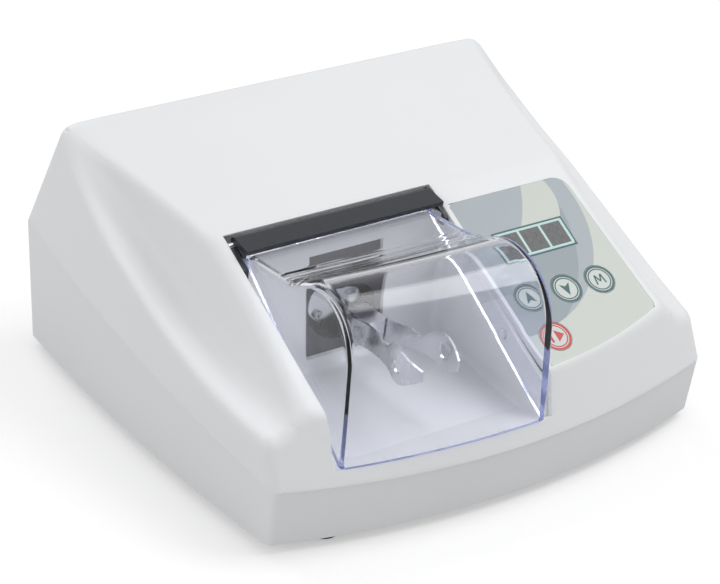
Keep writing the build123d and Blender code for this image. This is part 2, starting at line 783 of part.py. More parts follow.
def lid():
    """Clear sheet: curved front and top with two side walls, and a tongue under the hinge bar."""
    shell = lid_block(0) - lid_block(lid_thickness)
    shell = shell - block(-150, 150, -200, 200, 0, sill_z + lid_gap)
    under_sheet = lid_rear[1] - lid_thickness - fit_gap
    inner = lid_thickness + lid_side_draft * (top_z - sill_z)
    for x, low, high in ((lid_left, -150, lid_left + inner), (lid_right, lid_right - inner, 150)):
        bow = front_sagitta * (x / front_half_width) ** 2
        front = lid_front_back + bow + lid_thickness
        skirt = [(front, 0), (front, lid_skirt_low), (lid_skirt_back, lid_skirt_high),
                 (lid_skirt_back, under_sheet), (lid_rear[0] + 5, under_sheet), (lid_rear[0] + 5, 0)]
        shell = shell - side_prism(skirt, low, high)
    tongue = block(bar_left, lid_right - 2 * lid_side_draft * lid_skirt_high, behind(lid_rear[0]) - 0.5,
                   behind(lid_rear[0] + lid_tongue), bar_low_z - lid_thickness, bar_low_z)
    return shell + tongue


def hinge_bar():
    """Dark bar across the rear of the lid: a flat arm with a barrel at its rear edge."""
    arm = side_prism([(bar_front_back, bar_low_z), (pivot_back, bar_low_z),
                      (pivot_back, pivot_z + barrel_radius), (bar_front_back, bar_low_z + bar_thickness)],
                     bar_left, bar_right)
    bar = arm + rod(barrel_radius, (bar_left, pivot_y, pivot_z), (bar_right, pivot_y, pivot_z))
    bore = hinge_pin_radius + pin_clearance
    deep = hinge_pin_grip + clear_gap
    bar = bar - rod(bore, (bar_left - 1, pivot_y, pivot_z), (bar_left + deep, pivot_y, pivot_z))
    return bar - rod(bore, (bar_right - deep, pivot_y, pivot_z), (bar_right + 1, pivot_y, pivot_z))


def hinge_brackets():
    """Dark plates between the ends of the hinge bar and the sides of the chamber."""
    low_back = tub_rear(bracket_low_z) - tub_corner_radius - fit_gap
    ledge = hinge_ledge_z + fit_gap
    rear = opening_line[0][1] - fit_gap
    outline_points = [(bracket_front_back, bracket_low_z), (low_back, bracket_low_z),
                      (low_back, ledge), (rear, ledge),
                      (rear, roof_z(behind(rear)) - bracket_drop),
                      (bracket_front_back, roof_z(behind(bracket_front_back)) - bracket_drop)]
    ends = [(tub_x(bracket_low_z, -1) + fit_gap, bar_left - clear_gap),
            (bar_right + clear_gap, tub_x(bracket_low_z, 1) - fit_gap)]
    plates = []
    for low, high in ends:
        plate = side_prism(outline_points, low, high)
        bore = rod(hinge_pin_radius, (low - 1, pivot_y, pivot_z), (high + 1, pivot_y, pivot_z))
        plates.append(plate - bore)
    return joined(plates)


def hinge_pins():
    """Two steel pins that the hinge bar turns on."""
    left = rod(hinge_pin_radius, (tub_x(bracket_low_z, -1) + fit_gap, pivot_y, pivot_z),
               (bar_left + hinge_pin_grip, pivot_y, pivot_z))
    right = rod(hinge_pin_radius, (bar_right - hinge_pin_grip, pivot_y, pivot_z),
                (tub_x(bracket_low_z, 1) - fit_gap, pivot_y, pivot_z))
    return joined([left, right])


# ---------------------------------------------------------------- key panel
def panel_overlay():
    """Printed front foil in its recess, with a window for the display and holes for the keys."""
    sheet = front_plane.location * Pos(0, 0, -panel_recess) * extrude(panel_outline(0), amount=overlay_thickness)
    sheet = sheet - panel_block(display_left - fit_gap, display_right + fit_gap, display_top - fit_gap,
                                display_low + fit_gap, panel_recess + 1, -1)
    for x, s in key_places.values():
        sheet = sheet - panel_rod(key_radius + clear_gap, x, s, panel_recess + 1, -1)
    return sheet


def key(name):
    """Round key that moves straight in, with a flange that keeps it under the housing's wall."""
    x, s = key_places[name]
    top = panel_recess - overlay_thickness
    flange_top = wall + clear_gap
    flange_low = flange_top + key_flange_height
    body = panel_rod(key_radius, x, s, flange_low, top)
    return body + panel_rod(key_radius + key_flange, x, s, flange_low, flange_top)


def display_lens():
    """Smoked window over the digits."""
    top = panel_recess - overlay_thickness
    return panel_block(display_left, display_right, display_top, display_low, lens_thickness, top)


display_middle_x = (display_left + display_right) / 2
display_middle_s = (display_top + display_low) / 2


def digit_display():
    """Display module on the control board, one shallow pocket for each digit."""
    top = wall + clear_gap
    module = panel_block(display_middle_x - module_width / 2, display_middle_x + module_width / 2,
                         display_middle_s - module_height / 2, display_middle_s + module_height / 2,
                         board_depth, top)
    pitch = module_width / digit_count
    for i in range(digit_count):
        x = display_middle_x + (i - (digit_count - 1) / 2) * pitch
        module = module - panel_block(x - pitch / 2 + 1, x + pitch / 2 - 1, display_middle_s - 7,
                                      display_middle_s + 7, top + 0.4, top - 1)
    return module


def control_board():
    """Circuit board under the keys, screwed to the posts of the upper housing."""
    board = panel_block(board_left, board_right, board_top, board_low, board_depth + board_thickness, board_depth)
    for x, s in board_posts:
        board = board - panel_rod(board_screw_radius + clear_gap, x, s, board_depth + 5, board_depth - 1)
    return board


def tact_switches():
    """One push switch on the board under each key."""
    reach = wall + clear_gap + key_flange_height + key_travel + 0.05
    switches = []
    for x, s in key_places.values():
        half = tact_width / 2
        body = panel_block(x - half, x + half, s - half, s + half, board_depth, board_depth - tact_height)
        switches.append(body + panel_rod(tact_stem_radius, x, s, board_depth - tact_height, reach))
    return joined(switches)


def screw(radius, head_radius, head_height, seat, tip):
    """Pan-head screw with a cross recess; its head sits on seat and its shank ends at tip."""
    length = (Vector(*seat) - Vector(*tip)).length
    body = Cylinder(radius, length, align=(Align.CENTER, Align.CENTER, Align.MAX))
    head = Cylinder(head_radius, head_height, align=(Align.CENTER, Align.CENTER, Align.MIN))
    head = fillet(head.edges().group_by(Axis.Z)[-1], head_height * 0.4)
    cross = Box(head_radius * 1.1, head_radius * 0.28, head_height * 1.2)
    cross = cross + Box(head_radius * 0.28, head_radius * 1.1, head_height * 1.2)
    body = body + (head - Pos(0, 0, head_height) * cross)
    return Plane(origin=seat, z_dir=Vector(*seat) - Vector(*tip)) * body


def board_screws():
    """Small screws of the control board and of the power board."""
    screws = []
    normal = front_plane.z_dir
    for x, s in board_posts:
        seat = on_panel(x, s, board_depth + board_thickness).position
        tip = seat + normal * (board_thickness + board_screw_bite)
        screws.append(screw(board_screw_radius, board_screw_head, board_screw_head_height, seat, tip))
    top = foot_height + floor_thickness + power_standoff + board_thickness
    for x, y in power_posts():
        screws.append(screw(small_screw_radius, small_screw_head, small_screw_head_height,
                            (x, y, top), (x, y, top - board_thickness - small_screw_bite)))
    return joined(screws)


# ---------------------------------------------------------------- shaker arm
swing_y = behind(swing_back)
hub_front_y = swing_y - hub_front


prong_root_offset = head_width / 2 + fit_gap / 2 + prong_thickness


def prong_x(side, distance):
    """X of a place that far from the arm axis, on side -1 (left) or 1."""
    return arm_x + side * distance


def fork_prong(side):
    """One prong: a bent strip, cut to its side outline, with a hole in its cup."""
    root = (prong_root_back, prong_root_offset)
    bend = (head_front_back, prong_root_offset)
    with BuildSketch(Plane.XY.offset(30)) as plan:
        with BuildLine():
            faces = []
            for depth in (0, prong_thickness):
                points = [(prong_x(side, r - depth), behind(d)) for d, r in [bend] + prong_line]
                start = (prong_x(side, root[1] - depth), behind(root[0]))
                Line(start, points[0])
                Spline(*points, tangents=[(0, -1), (-side * 0.45, -1)])
                faces.append((start, points[-1]))
            Line(faces[0][0], faces[1][0])
            Line(faces[0][1], faces[1][1])
        make_face()
    strip = extrude(plan.sketch, amount=60)
    with BuildSketch(Plane.YZ.offset(arm_x - 30)) as outline_sketch:
        with BuildLine():
            top = [(behind(d), z) for d, z in prong_top]
            low = [(behind(d), z) for d, z in prong_low]
            Spline(*top)
            Line(top[-1], low[0])
            Spline(*low)
            Line(low[-1], top[0])
        make_face()
    prong = strip & extrude(outline_sketch.sketch, amount=60)
    d, z = cup_hole
    prong = prong - rod(cup_hole_radius, (arm_x - 30, behind(d), z), (arm_x + 30, behind(d), z))
    for back in fork_bolt_backs:
        y = behind(back)
        prong = prong - rod(fork_bolt_radius + pin_clearance, (arm_x - 30, y, fork_bolt_z), (arm_x + 30, y, fork_bolt_z))
    return prong


def fork_bolts():
    """Two cross bolts with nuts that hold the prongs to the head of the arm."""
    root = prong_root_offset + 0.05
    bolts = []
    for back in fork_bolt_backs:
        y = behind(back)
        left = (arm_x - root, y, fork_bolt_z)
        right = (arm_x + root, y, fork_bolt_z)
        shank = rod(fork_bolt_radius, (arm_x - root - 1, y, fork_bolt_z), (arm_x + root + 3, y, fork_bolt_z))
        head = Plane(origin=left, z_dir=(-1, 0, 0)) * extrude(RegularPolygon(fork_nut_radius, 6), amount=2.0)
        nut = Plane(origin=right, z_dir=(1, 0, 0)) * extrude(RegularPolygon(fork_nut_radius, 6), amount=2.2)
        bolts.append(shank + head + nut)
    return joined(bolts)


def shaker_arm():
    """Arm in one piece: flat-sided head, round rod and the front half of the ball's socket."""
    hub = rod(hub_radius, (arm_x, hub_front_y, arm_z), (arm_x, swing_y, arm_z))
    hub = hub + rod(arm_rod_radius, (arm_x, behind(head_rear_back) - 1, arm_z), (arm_x, hub_front_y + 1, arm_z))
    head = block(arm_x - head_width / 2, arm_x + head_width / 2, behind(head_front_back),
                 behind(head_rear_back), arm_z - head_height / 2, arm_z + head_height / 2)
    head = fillet(head.edges().filter_by(Axis.Z), 1.5)
    hub = hub + head
    hub = hub + rod(steady_radius, (arm_x, behind(steady_back), steady_low_z), (arm_x, behind(steady_back), arm_z - 8))
    hub = hub - Pos(arm_x, swing_y, arm_z) * Sphere(ball_radius + ball_clearance)
    for x, z in cap_screw_places():
        hub = hub - rod(cap_screw_radius + fit_gap / 2, (x, hub_front_y - 1, z), (x, swing_y + 1, z))
    for back in fork_bolt_backs:
        y = behind(back)
        hub = hub - rod(fork_bolt_radius + pin_clearance, (arm_x - 30, y, fork_bolt_z), (arm_x + 30, y, fork_bolt_z))
    return hub


def cap_screw_places():
    """Places (x, z) of the screws that hold the two halves of the socket together."""
    places = []
    for i in range(4):
        angle = math.radians(45 + 90 * i)
        places.append((arm_x + cap_screw_circle * math.cos(angle), arm_z + cap_screw_circle * math.sin(angle)))
    return places


def ball_cap():
    """Rear half of the socket, with a mouth that keeps the ball in."""
    cap = rod(hub_radius, (arm_x, swing_y, arm_z), (arm_x, swing_y + hub_rear, arm_z))
    cap = cap - Pos(arm_x, swing_y, arm_z) * Sphere(ball_radius + ball_clearance)
    mouth = rod(ball_radius * 0.88, (arm_x, swing_y, arm_z), (arm_x, swing_y + hub_rear + 1, arm_z))
    cap = cap - mouth
    for x, z in cap_screw_places():
        cap = cap - rod(cap_screw_radius + fit_gap / 2, (x, swing_y - 1, z), (x, swing_y + hub_rear - 1.5, z))
    return cap


def ball_cap_screws():
    """Four screws from the front of the hub into the cap."""
    return joined([screw(cap_screw_radius, cap_screw_head, cap_screw_head_height, (x, hub_front_y, z),
                         (x, swing_y + hub_rear - 2, z)) for x, z in cap_screw_places()])


# ---------------------------------------------------------------- drive
motor_front_back = face_plate_back + plate_thickness
motor_rear_back = motor_front_back + motor_length
end_cap_rear_back = motor_rear_back + motor_end_thickness
rotor_front_back = (motor_front_back + motor_rear_back - rotor_length) / 2 + 2
stator_front_back = (motor_front_back + motor_rear_back - stator_length) / 2 + 2


def shaft_rod(radius, start_back, end_back):
    """Round piece on the drive axis between two places behind the front."""
    return rod(radius, (arm_x, behind(start_back), arm_z), (arm_x, behind(end_back), arm_z))


def motor_shaft():
    """Straight shaft with a small flat under the counterweight's screw."""
    return shaft_rod(shaft_radius, shaft_front_back, shaft_rear_back)


def ball_bush():
    """Steel ball on the front end of the shaft, with two flats."""
    ball = Pos(arm_x, swing_y, arm_z) * Sphere(ball_radius)
    flat = ball_radius * 0.86
    ball = ball & block(arm_x - 20, arm_x + 20, swing_y - flat, swing_y + flat, arm_z - 20, arm_z + 20)
    return ball - shaft_rod(shaft_radius, swing_back - 20, swing_back + 20)


def counterweight():
    """Half disc that balances the arm, on a full hub."""
    end = weight_front_back + weight_thickness
    disc = shaft_rod(weight_radius, weight_front_back, end)
    lower = block(arm_x - 50, arm_x + 50, behind(weight_front_back) - 1, behind(end) + 1, arm_z - 50, arm_z)
    hub = shaft_rod(shaft_radius * 2.2, weight_front_back, end)
    return (disc & lower) + hub - shaft_rod(shaft_radius, weight_front_back - 1, end + 1)


def rotor():
    """Laminated rotor core on the shaft."""
    core = shaft_rod(rotor_radius, rotor_front_back, rotor_front_back + rotor_length)
    return core - shaft_rod(shaft_radius, rotor_front_back - 1, rotor_front_back + rotor_length + 1)


def stator():
    """Laminated ring with its windings, inside the motor housing."""
    end = stator_front_back + stator_length
    ring = shaft_rod(motor_radius - motor_wall - fit_gap, stator_front_back, end)
    return ring - shaft_rod(rotor_radius + stator_gap, stator_front_back - 1, end + 1)


def motor_housing():
    """Steel can with its closed front and the seat of the front bearing."""
    can = shaft_rod(motor_radius, motor_front_back, motor_rear_back)
    can = can - shaft_rod(motor_radius - motor_wall, motor_front_back + motor_end_thickness, motor_rear_back + 1)
    boss_end = motor_front_back + motor_end_thickness + bearing_boss
    can = can + shaft_rod(bearing_radius + bearing_boss, motor_front_back + 1, boss_end)
    can = can - shaft_rod(bearing_radius + pin_clearance, motor_front_back - 1, boss_end + 1)
    for x, z in motor_screw_places():
        can = can - rod(small_screw_radius + fit_gap / 2, (x, behind(motor_front_back) - 1, z),
                        (x, behind(motor_front_back) + motor_end_thickness + 1, z))
    return can


def motor_end_cap():
    """Rear cover of the motor with the seat of the rear bearing."""
    cap = shaft_rod(motor_radius, motor_rear_back, end_cap_rear_back)
    boss_front = motor_rear_back - bearing_boss
    cap = cap + shaft_rod(bearing_radius + bearing_boss, boss_front, motor_rear_back + 1)
    return cap - shaft_rod(bearing_radius + pin_clearance, boss_front - 1, end_cap_rear_back + 1)


def shaft_bearings():
    """Two ball bearings, each simplified to one ring."""
    rings = []
    for start in (motor_front_back, end_cap_rear_back - bearing_width):
        ring = shaft_rod(bearing_radius, start, start + bearing_width)
        rings.append(ring - shaft_rod(shaft_radius + shaft_clearance, start - 1, start + bearing_width + 1))
    return joined(rings)


def motor_screw_places():
    """Places (x, z) of the screws between the face plate and the motor."""
    places = []
    for i in range(4):
        angle = math.radians(90 * i)
        places.append((arm_x + motor_screw_circle * math.cos(angle),
                       arm_z + motor_screw_circle * math.sin(angle)))
    return places


def motor_screws():
    """Four screws through the face plate into the motor's front."""
    y = behind(face_plate_back)
    return joined([screw(small_screw_radius, small_screw_head, small_screw_head_height, (x, y, z),
                         (x, y + plate_thickness + motor_end_thickness - 1, z))
                   for x, z in motor_screw_places()])


def motor_carriage():
    """Sprung carriage: bottom plate, upright face plate and the guides of the steady pin."""
    top = carriage_z + carriage_thickness
    plate = block(carriage_left, carriage_right, behind(carriage_front_back), behind(carriage_rear_back),
                  carriage_z, top)
    plate = fillet(plate.edges().filter_by(Axis.Z), 5)
    face_top = arm_z + motor_radius + 4
    face = block(arm_x - motor_radius - 4, arm_x + motor_radius + 4, behind(face_plate_back),
                 behind(motor_front_back), top - 0.5, face_top)
    face = face - shaft_rod(bearing_radius - 1.5, face_plate_back - 1, motor_front_back + 1)
    for x, z in motor_screw_places():
        face = face - rod(small_screw_radius + clear_gap / 2, (x, behind(face_plate_back) - 1, z),
                          (x, behind(motor_front_back) + 1, z))
    carriage = plate + face
    inner = steady_radius + steady_clearance
    for side in (-1, 1):
        low, high = sorted((arm_x + side * inner, arm_x + side * (inner + steady_guide)))
        carriage = carriage + block(low, high, behind(steady_back) - 5, behind(steady_back) + 5,
                                    top - 0.5, steady_low_z + steady_overlap)
    for x, d in isolator_places:
        carriage = carriage - rod(screw_radius + fit_gap, (x, behind(d), 0), (x, behind(d), top + 1))
    for x, d in transport_places:
        carriage = carriage - rod(transport_radius + fit_gap / 2, (x, behind(d), 0), (x, behind(d), top + 1))
    return carriage


def isolators():
    """Four rubber mounts under the carriage."""
    floor_z = foot_height + floor_thickness
    mounts = []
    for x, d in isolator_places:
        mount = rod(isolator_radius, (x, behind(d), floor_z), (x, behind(d), carriage_z))
        waist = Pos(x, behind(d), (floor_z + carriage_z) / 2) * Torus(isolator_radius + 1.2, 2.6)
        mounts.append(mount - waist - rod(screw_radius + fit_gap, (x, behind(d), 0), (x, behind(d), carriage_z + 1)))
    return joined(mounts)


def isolator_screws():
    """Screws that hold the carriage down through its rubber mounts."""
    top = carriage_z + carriage_thickness
    floor_z = foot_height + floor_thickness
    return joined([screw(screw_radius, screw_head_radius, screw_head_height, (x, behind(d), top),
                         (x, behind(d), floor_z - 1.5)) for x, d in isolator_places])


def transport_screws():
    """Two screws from below that lock the carriage while the machine travels."""
    top = carriage_z + carriage_thickness
    return joined([screw(transport_radius, transport_head_radius, transport_head_height,
                         (x, behind(d), foot_height), (x, behind(d), top)) for x, d in transport_places])


# ---------------------------------------------------------------- guard plate and lid switch
def guard_screw_places():
    """Places (x, z) of the four screws at the corners of the guard plate."""
    left, right, low, high = wall_hole
    half = guard_margin / 2
    return [(left - half, low + 6), (right + half, low + 6), (left - half, high + half), (right + half, high + half)]


def leaning_sheet(gap, thickness, left, right, low, high):
    """Sheet that lies behind the chamber's leaning rear wall, gap away from it."""
    slant = math.hypot(1, tub_rear_lean)
    near = (tub_wall + gap) * slant
    far = (tub_wall + gap + thickness) * slant
    return side_prism([(tub_rear(low) + near, low), (tub_rear(low) + far, low),
                       (tub_rear(high) + far, high), (tub_rear(high) + near, high)], left, right)


def guard_plate():
    """Dark plate behind the hole of the rear wall; the arm passes through its round opening."""
    left, right, low, high = wall_hole
    plate = leaning_sheet(fit_gap, guard_thickness, left - guard_margin, right + guard_margin,
                          low - guard_margin / 2, high + guard_margin)
    plate = plate - shaft_rod(guard_hole_radius, 80, 120)
    for x, z in guard_screw_places():
        y = behind(tub_rear(z))
        plate = plate - rod(small_screw_radius + clear_gap / 2, (x, y, z), (x, y + 20, z))
    return plate


def guard_screws():
    """Four short screws of the guard plate, put in from behind."""
    screws = []
    slant = math.hypot(1, tub_rear_lean)
    for x, z in guard_screw_places():
        seat = behind(tub_rear(z)) + (tub_wall + fit_gap + guard_thickness) * slant + guard_seat_gap
        tip = behind(tub_rear(z)) + 1.2
        screws.append(screw(small_screw_radius, small_screw_head, small_screw_head_height, (x, seat, z), (x, tip, z)))
    return joined(screws)


def switch_wall_x():
    """Outer face of the chamber's right wall at the lid switch."""
    low = switch_z - switch_size[2] / 2
    high = switch_z + switch_size[2] / 2
    return max(tub_x(low, 1), tub_x(high, 1)) + tub_wall + fit_gap


def lid_switch():
    """Small switch behind the chamber's right wall, with the bore of its plunger."""
    x = switch_wall_x()
    width, depth, height = switch_size
    y = behind(switch_back)
    body = block(x, x + width, y - depth / 2, y + depth / 2, switch_z - height / 2, switch_z + height / 2)
    return body - rod(plunger_radius + clear_gap, (x - 1, y, switch_z), (x + width - 1, y, switch_z))


def switch_plunger():
    """Sprung nub of the lid switch, which shows on the chamber's right wall."""
    y = behind(switch_back)
    tip = tub_x(switch_z, 1) - plunger_reach
    end = switch_wall_x() + switch_size[0] - 1 - plunger_travel - clear_gap
    nub = rod(plunger_radius, (tip, y, switch_z), (end, y, switch_z))
    return fillet(nub.edges().sort_by(Axis.X)[0], 0.7)


# ---------------------------------------------------------------- power inlet and rear panel
panel_in_y = behind(rear_panel_back)
panel_out_y = panel_in_y + rear_panel_thickness


def rear_panel_screw_places():
    """Places (x, z) of the screws at the corners of the rear panel."""
    left = (rear_panel_left + window_left) / 2
    right = (rear_panel_right + window_right) / 2
    low = rear_panel_low + rear_screw_inset
    high = rear_panel_high - rear_screw_inset
    return [(left, low), (right, low), (left, high), (right, high)]


def rear_block(x, z, width, height, y_low, y_high):
    """Box with a middle (x, z) between two y."""
    return block(x - width / 2, x + width / 2, y_low, y_high, z - height / 2, z + height / 2)


def rear_panel():
    """Flat panel behind the window of the rear wall, with the cut-outs of inlet and switch."""
    plate = block(rear_panel_left, rear_panel_right, panel_in_y, panel_out_y, rear_panel_low, rear_panel_high)
    y = (panel_in_y - 1, panel_out_y + 1)
    plate = plate - rear_block(inlet_x, inlet_z, inlet_body[0] + 2 * fit_gap, inlet_body[1] + 2 * fit_gap, *y)
    plate = plate - rear_block(rocker_x, rocker_z, rocker_body[0] + 2 * fit_gap, rocker_body[1] + 2 * fit_gap, *y)
    for x, z in rear_panel_screw_places():
        plate = plate - rod(small_screw_radius + clear_gap / 2, (x, y[0], z), (x, y[1], z))
    return plate


def rear_panel_screws():
    """Four screws from inside into the pads of the rear wall."""
    return joined([screw(small_screw_radius, small_screw_head, small_screw_head_height, (x, panel_in_y, z),
                         (x, panel_out_y + small_screw_bite - 0.4, z)) for x, z in rear_panel_screw_places()])


def power_inlet():
    """Appliance inlet: flange, body, the pin socket and the slot of the fuse drawer."""
    width, height, depth = inlet_body
    flange_width, flange_height, flange = inlet_flange
    body = rear_block(inlet_x, inlet_z, width, height, panel_out_y - depth, panel_out_y + 0.5)
    edge = rear_block(inlet_x, inlet_z, flange_width, flange_height, panel_out_y, panel_out_y + flange)
    body = body + edge
    front = panel_out_y + flange
    body = body - rear_block(inlet_x, socket_z, socket_size[0], socket_size[1], front - socket_size[2], front + 1)
    slot = 2 * clear_gap
    body = body - rear_block(inlet_x, drawer_z, drawer_size[0] + slot, drawer_size[1] + slot,
                             front - drawer_size[2] - clear_gap, front + 1)
    return body


def inlet_pins():
    """Three flat pins in the inlet's socket."""
    bottom = panel_out_y + inlet_flange[2] - socket_size[2]
    pins = []
    for dx, dz in ((-7.0, -1.6), (7.0, -1.6), (0.0, 2.4)):
        pins.append(rear_block(inlet_x + dx, socket_z + dz, 2.0, 4.0, bottom, bottom + pin_reach))
    return joined(pins)


def fuse_drawer():
    """Drawer under the socket that slides out with its fuses."""
    front = panel_out_y + inlet_flange[2]
    width, height, depth = drawer_size
    tray = rear_block(inlet_x, drawer_z, width, height, front - depth, front)
    pocket = rear_block(inlet_x, drawer_z + drawer_wall, width - 2 * drawer_wall, height, front - depth + drawer_wall,
                        front - drawer_wall)
    grip = rear_block(inlet_x, drawer_z + height / 2 - 0.6, width * 0.5, 1.2, front - 0.1, front + 1.0)
    return tray - pocket + grip


def fuses():
    """Two fuses side by side in the drawer."""
    front = panel_out_y + inlet_flange[2]
    low = drawer_z - drawer_size[1] / 2 + drawer_wall + fuse_radius
    rods = []
    for side in (-1, 1):
        x = inlet_x + side * drawer_size[0] / 4.6
        rods.append(rod(fuse_radius, (x, front - drawer_wall - fit_gap, low),
                        (x, front - drawer_size[2] + drawer_wall + fit_gap, low)))
    return joined(rods)


rocker_y = panel_out_y + 0.2


def rocker_frame():
    """Frame of the power switch, with the cavity that the rocker tips in."""
    width, height, flange = rocker_frame_size
    body_width, body_height, depth = rocker_body
    body = rear_block(rocker_x, rocker_z, body_width, body_height, panel_out_y - depth, panel_out_y + 0.5)
    body = body + rear_block(rocker_x, rocker_z, width, height, panel_out_y, panel_out_y + flange)
    body = body - rear_block(rocker_x, rocker_z, rocker_width + 2 * clear_gap, 2 * rocker_half + 2.4,
                             panel_out_y - 8, panel_out_y + flange + 1)
    half = rocker_width / 2 + rocker_stub + clear_gap
    return body - rod(rocker_pin_radius + pin_clearance, (rocker_x - half, rocker_y, rocker_z),
                      (rocker_x + half, rocker_y, rocker_z))


def power_rocker():
    """Rocker of the power switch, tipped to its off side."""
    with BuildSketch(Plane.YZ.offset(-rocker_width / 2)) as sketch:
        with BuildLine():
            Polyline((3.2, -rocker_half), (1.8, 0), (3.2, rocker_half), (-1.0, rocker_half), (-5.0, 2.0),
                     (-5.0, -2.0), (-1.0, -rocker_half), close=True)
        make_face()
    body = extrude(sketch.sketch, amount=rocker_width)
    half = rocker_width / 2 + rocker_stub
    body = body + rod(rocker_pin_radius, (-half, 0, 0), (half, 0, 0))
    return Pos(rocker_x, rocker_y, rocker_z) * Rot(-rocker_tilt, 0, 0) * body


def power_posts():
    """Places (x, y) of the posts under the power board."""
    inset = 4.0
    return [(x, y) for x in (power_left + inset, power_right - inset)
            for y in (behind(power_front_back) + inset, behind(power_rear_back) - inset)]


def power_board():
    """Mains board on its posts, with the heat sink of its power switch and two capacitors."""
    low = foot_height + floor_thickness + power_standoff
    top = low + board_thickness
    front, rear = behind(power_front_back), behind(power_rear_back)
    board = block(power_left, power_right, front, rear, low, top)
    for x, y in power_posts():
        board = board - rod(small_screw_radius + clear_gap / 2, (x, y, low - 1), (x, y, top + 1))
    sink = block(power_left + 10, power_left + 34, rear - 16, rear - 13, top - 0.1, top + 24)
    for i in range(5):
        x = power_left + 10 + i * 5.6
        sink = sink + block(x, x + 1.6, rear - 14, rear - 6, top - 0.1, top + 24)
    parts = board + sink
    for x in (power_left + 12, power_left + 24):
        parts = parts + rod(5, (x, front + 20, top - 0.1), (x, front + 20, top + 16))
    return parts


def transformer():
    """Small transformer on the power board: laminated core with its winding."""
    top = foot_height + floor_thickness + power_standoff + board_thickness
    width, depth, height = transformer_size
    x = power_right - 8 - width / 2
    y = behind((power_front_back + power_rear_back) / 2) - 2
    core = block(x - width / 2, x + width / 2, y - depth / 4, y + depth / 4, top, top + height)
    coil = block(x - width * 0.3, x + width * 0.3, y - depth / 2, y + depth / 2, top + 5, top + height - 5)
    return core + fillet(coil.edges().filter_by(Axis.Z), 3)


# ---------------------------------------------------------------- feet and case screws
def feet():
    """Four rubber feet, each with a sunk seat for its screw."""
    rubbers = []
    for x, d in foot_places:
        y = behind(d)
        foot = rod(foot_radius, (x, y, 0), (x, y, foot_height))
        foot = fillet(foot.edges().group_by(Axis.Z)[0], 1.0)
        foot = foot - rod(small_screw_head + clear_gap, (x, y, -1), (x, y, foot_seat))
        rubbers.append(foot - rod(small_screw_radius + fit_gap, (x, y, -1), (x, y, foot_height + 1)))
    return joined(rubbers)


def feet_screws():
    """Screws of the feet."""
    tip = foot_height + floor_thickness + foot_boss_height - 1.5
    return joined([screw(small_screw_radius, small_screw_head, small_screw_head_height,
                         (x, behind(d), foot_seat), (x, behind(d), tip)) for x, d in foot_places])


def case_screws():
    """Four screws from below that hold the two housings together."""
    screws = []
    for x, d in case_screw_places:
        seat = case_screw_seat(d)
        screws.append(screw(screw_radius, screw_head_radius, screw_head_height, (x, behind(d), seat),
                            (x, behind(d), seat + case_screw_length)))
    return joined(screws)


# ---------------------------------------------------------------- write the sub-parts
sub_parts = {
    "base_shell": base_shell,
    "upper_shell": upper_shell,
    "mixing_chamber_tub": mixing_chamber_tub,
    "lid": lid,
    "hinge_bar": hinge_bar,
    "hinge_brackets": hinge_brackets,
    "hinge_pins": hinge_pins,
    "panel_overlay": panel_overlay,
    "display_lens": display_lens,
    "digit_display": digit_display,
    "control_board": control_board,
    "tact_switches": tact_switches,
    "board_screws": board_screws,
    "shaker_arm": shaker_arm,
    "fork_prong_left": lambda: fork_prong(-1),
    "fork_prong_right": lambda: fork_prong(1),
    "fork_bolts": fork_bolts,
    "ball_cap": ball_cap,
    "ball_cap_screws": ball_cap_screws,
    "ball_bush": ball_bush,
    "motor_shaft": motor_shaft,
    "counterweight": counterweight,
    "rotor": rotor,
    "stator": stator,
    "motor_housing": motor_housing,
    "motor_end_cap": motor_end_cap,
    "shaft_bearings": shaft_bearings,
    "motor_screws": motor_screws,
    "motor_carriage": motor_carriage,
    "isolators": isolators,
    "isolator_screws": isolator_screws,
    "transport_screws": transport_screws,
    "guard_plate": guard_plate,
    "guard_screws": guard_screws,
    "lid_switch": lid_switch,
    "switch_plunger": switch_plunger,
    "rear_panel": rear_panel,
    "rear_panel_screws": rear_panel_screws,
    "power_inlet": power_inlet,
    "inlet_pins": inlet_pins,
    "fuse_drawer": fuse_drawer,
    "fuses": fuses,
    "rocker_frame": rocker_frame,
    "power_rocker": power_rocker,
    "power_board": power_board,
    "transformer": transformer,
    "feet": feet,
    "feet_screws": feet_screws,
    "case_screws": case_screws,
}
for key_name in key_places:
    sub_parts[key_name] = lambda name=key_name: key(name)

os.makedirs("parts", exist_ok=True)
for node, make in sub_parts.items():
    export_step(make(), "parts/" + node + ".step")
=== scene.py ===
# %% [markdown]
# A bench-top dental amalgamator: a pale wedge-shaped case, a clear lid over a white chamber
# with a spring-steel fork, and a sloping key panel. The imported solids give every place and
# size; this script dresses them. All helper sizes are millimetres and become metres only
# when a mesh is made, because the real object is drawn in millimetres.

# %% Load the frame
import math
import bmesh
import bpy
import numpy as np
from mathutils import Matrix, Vector


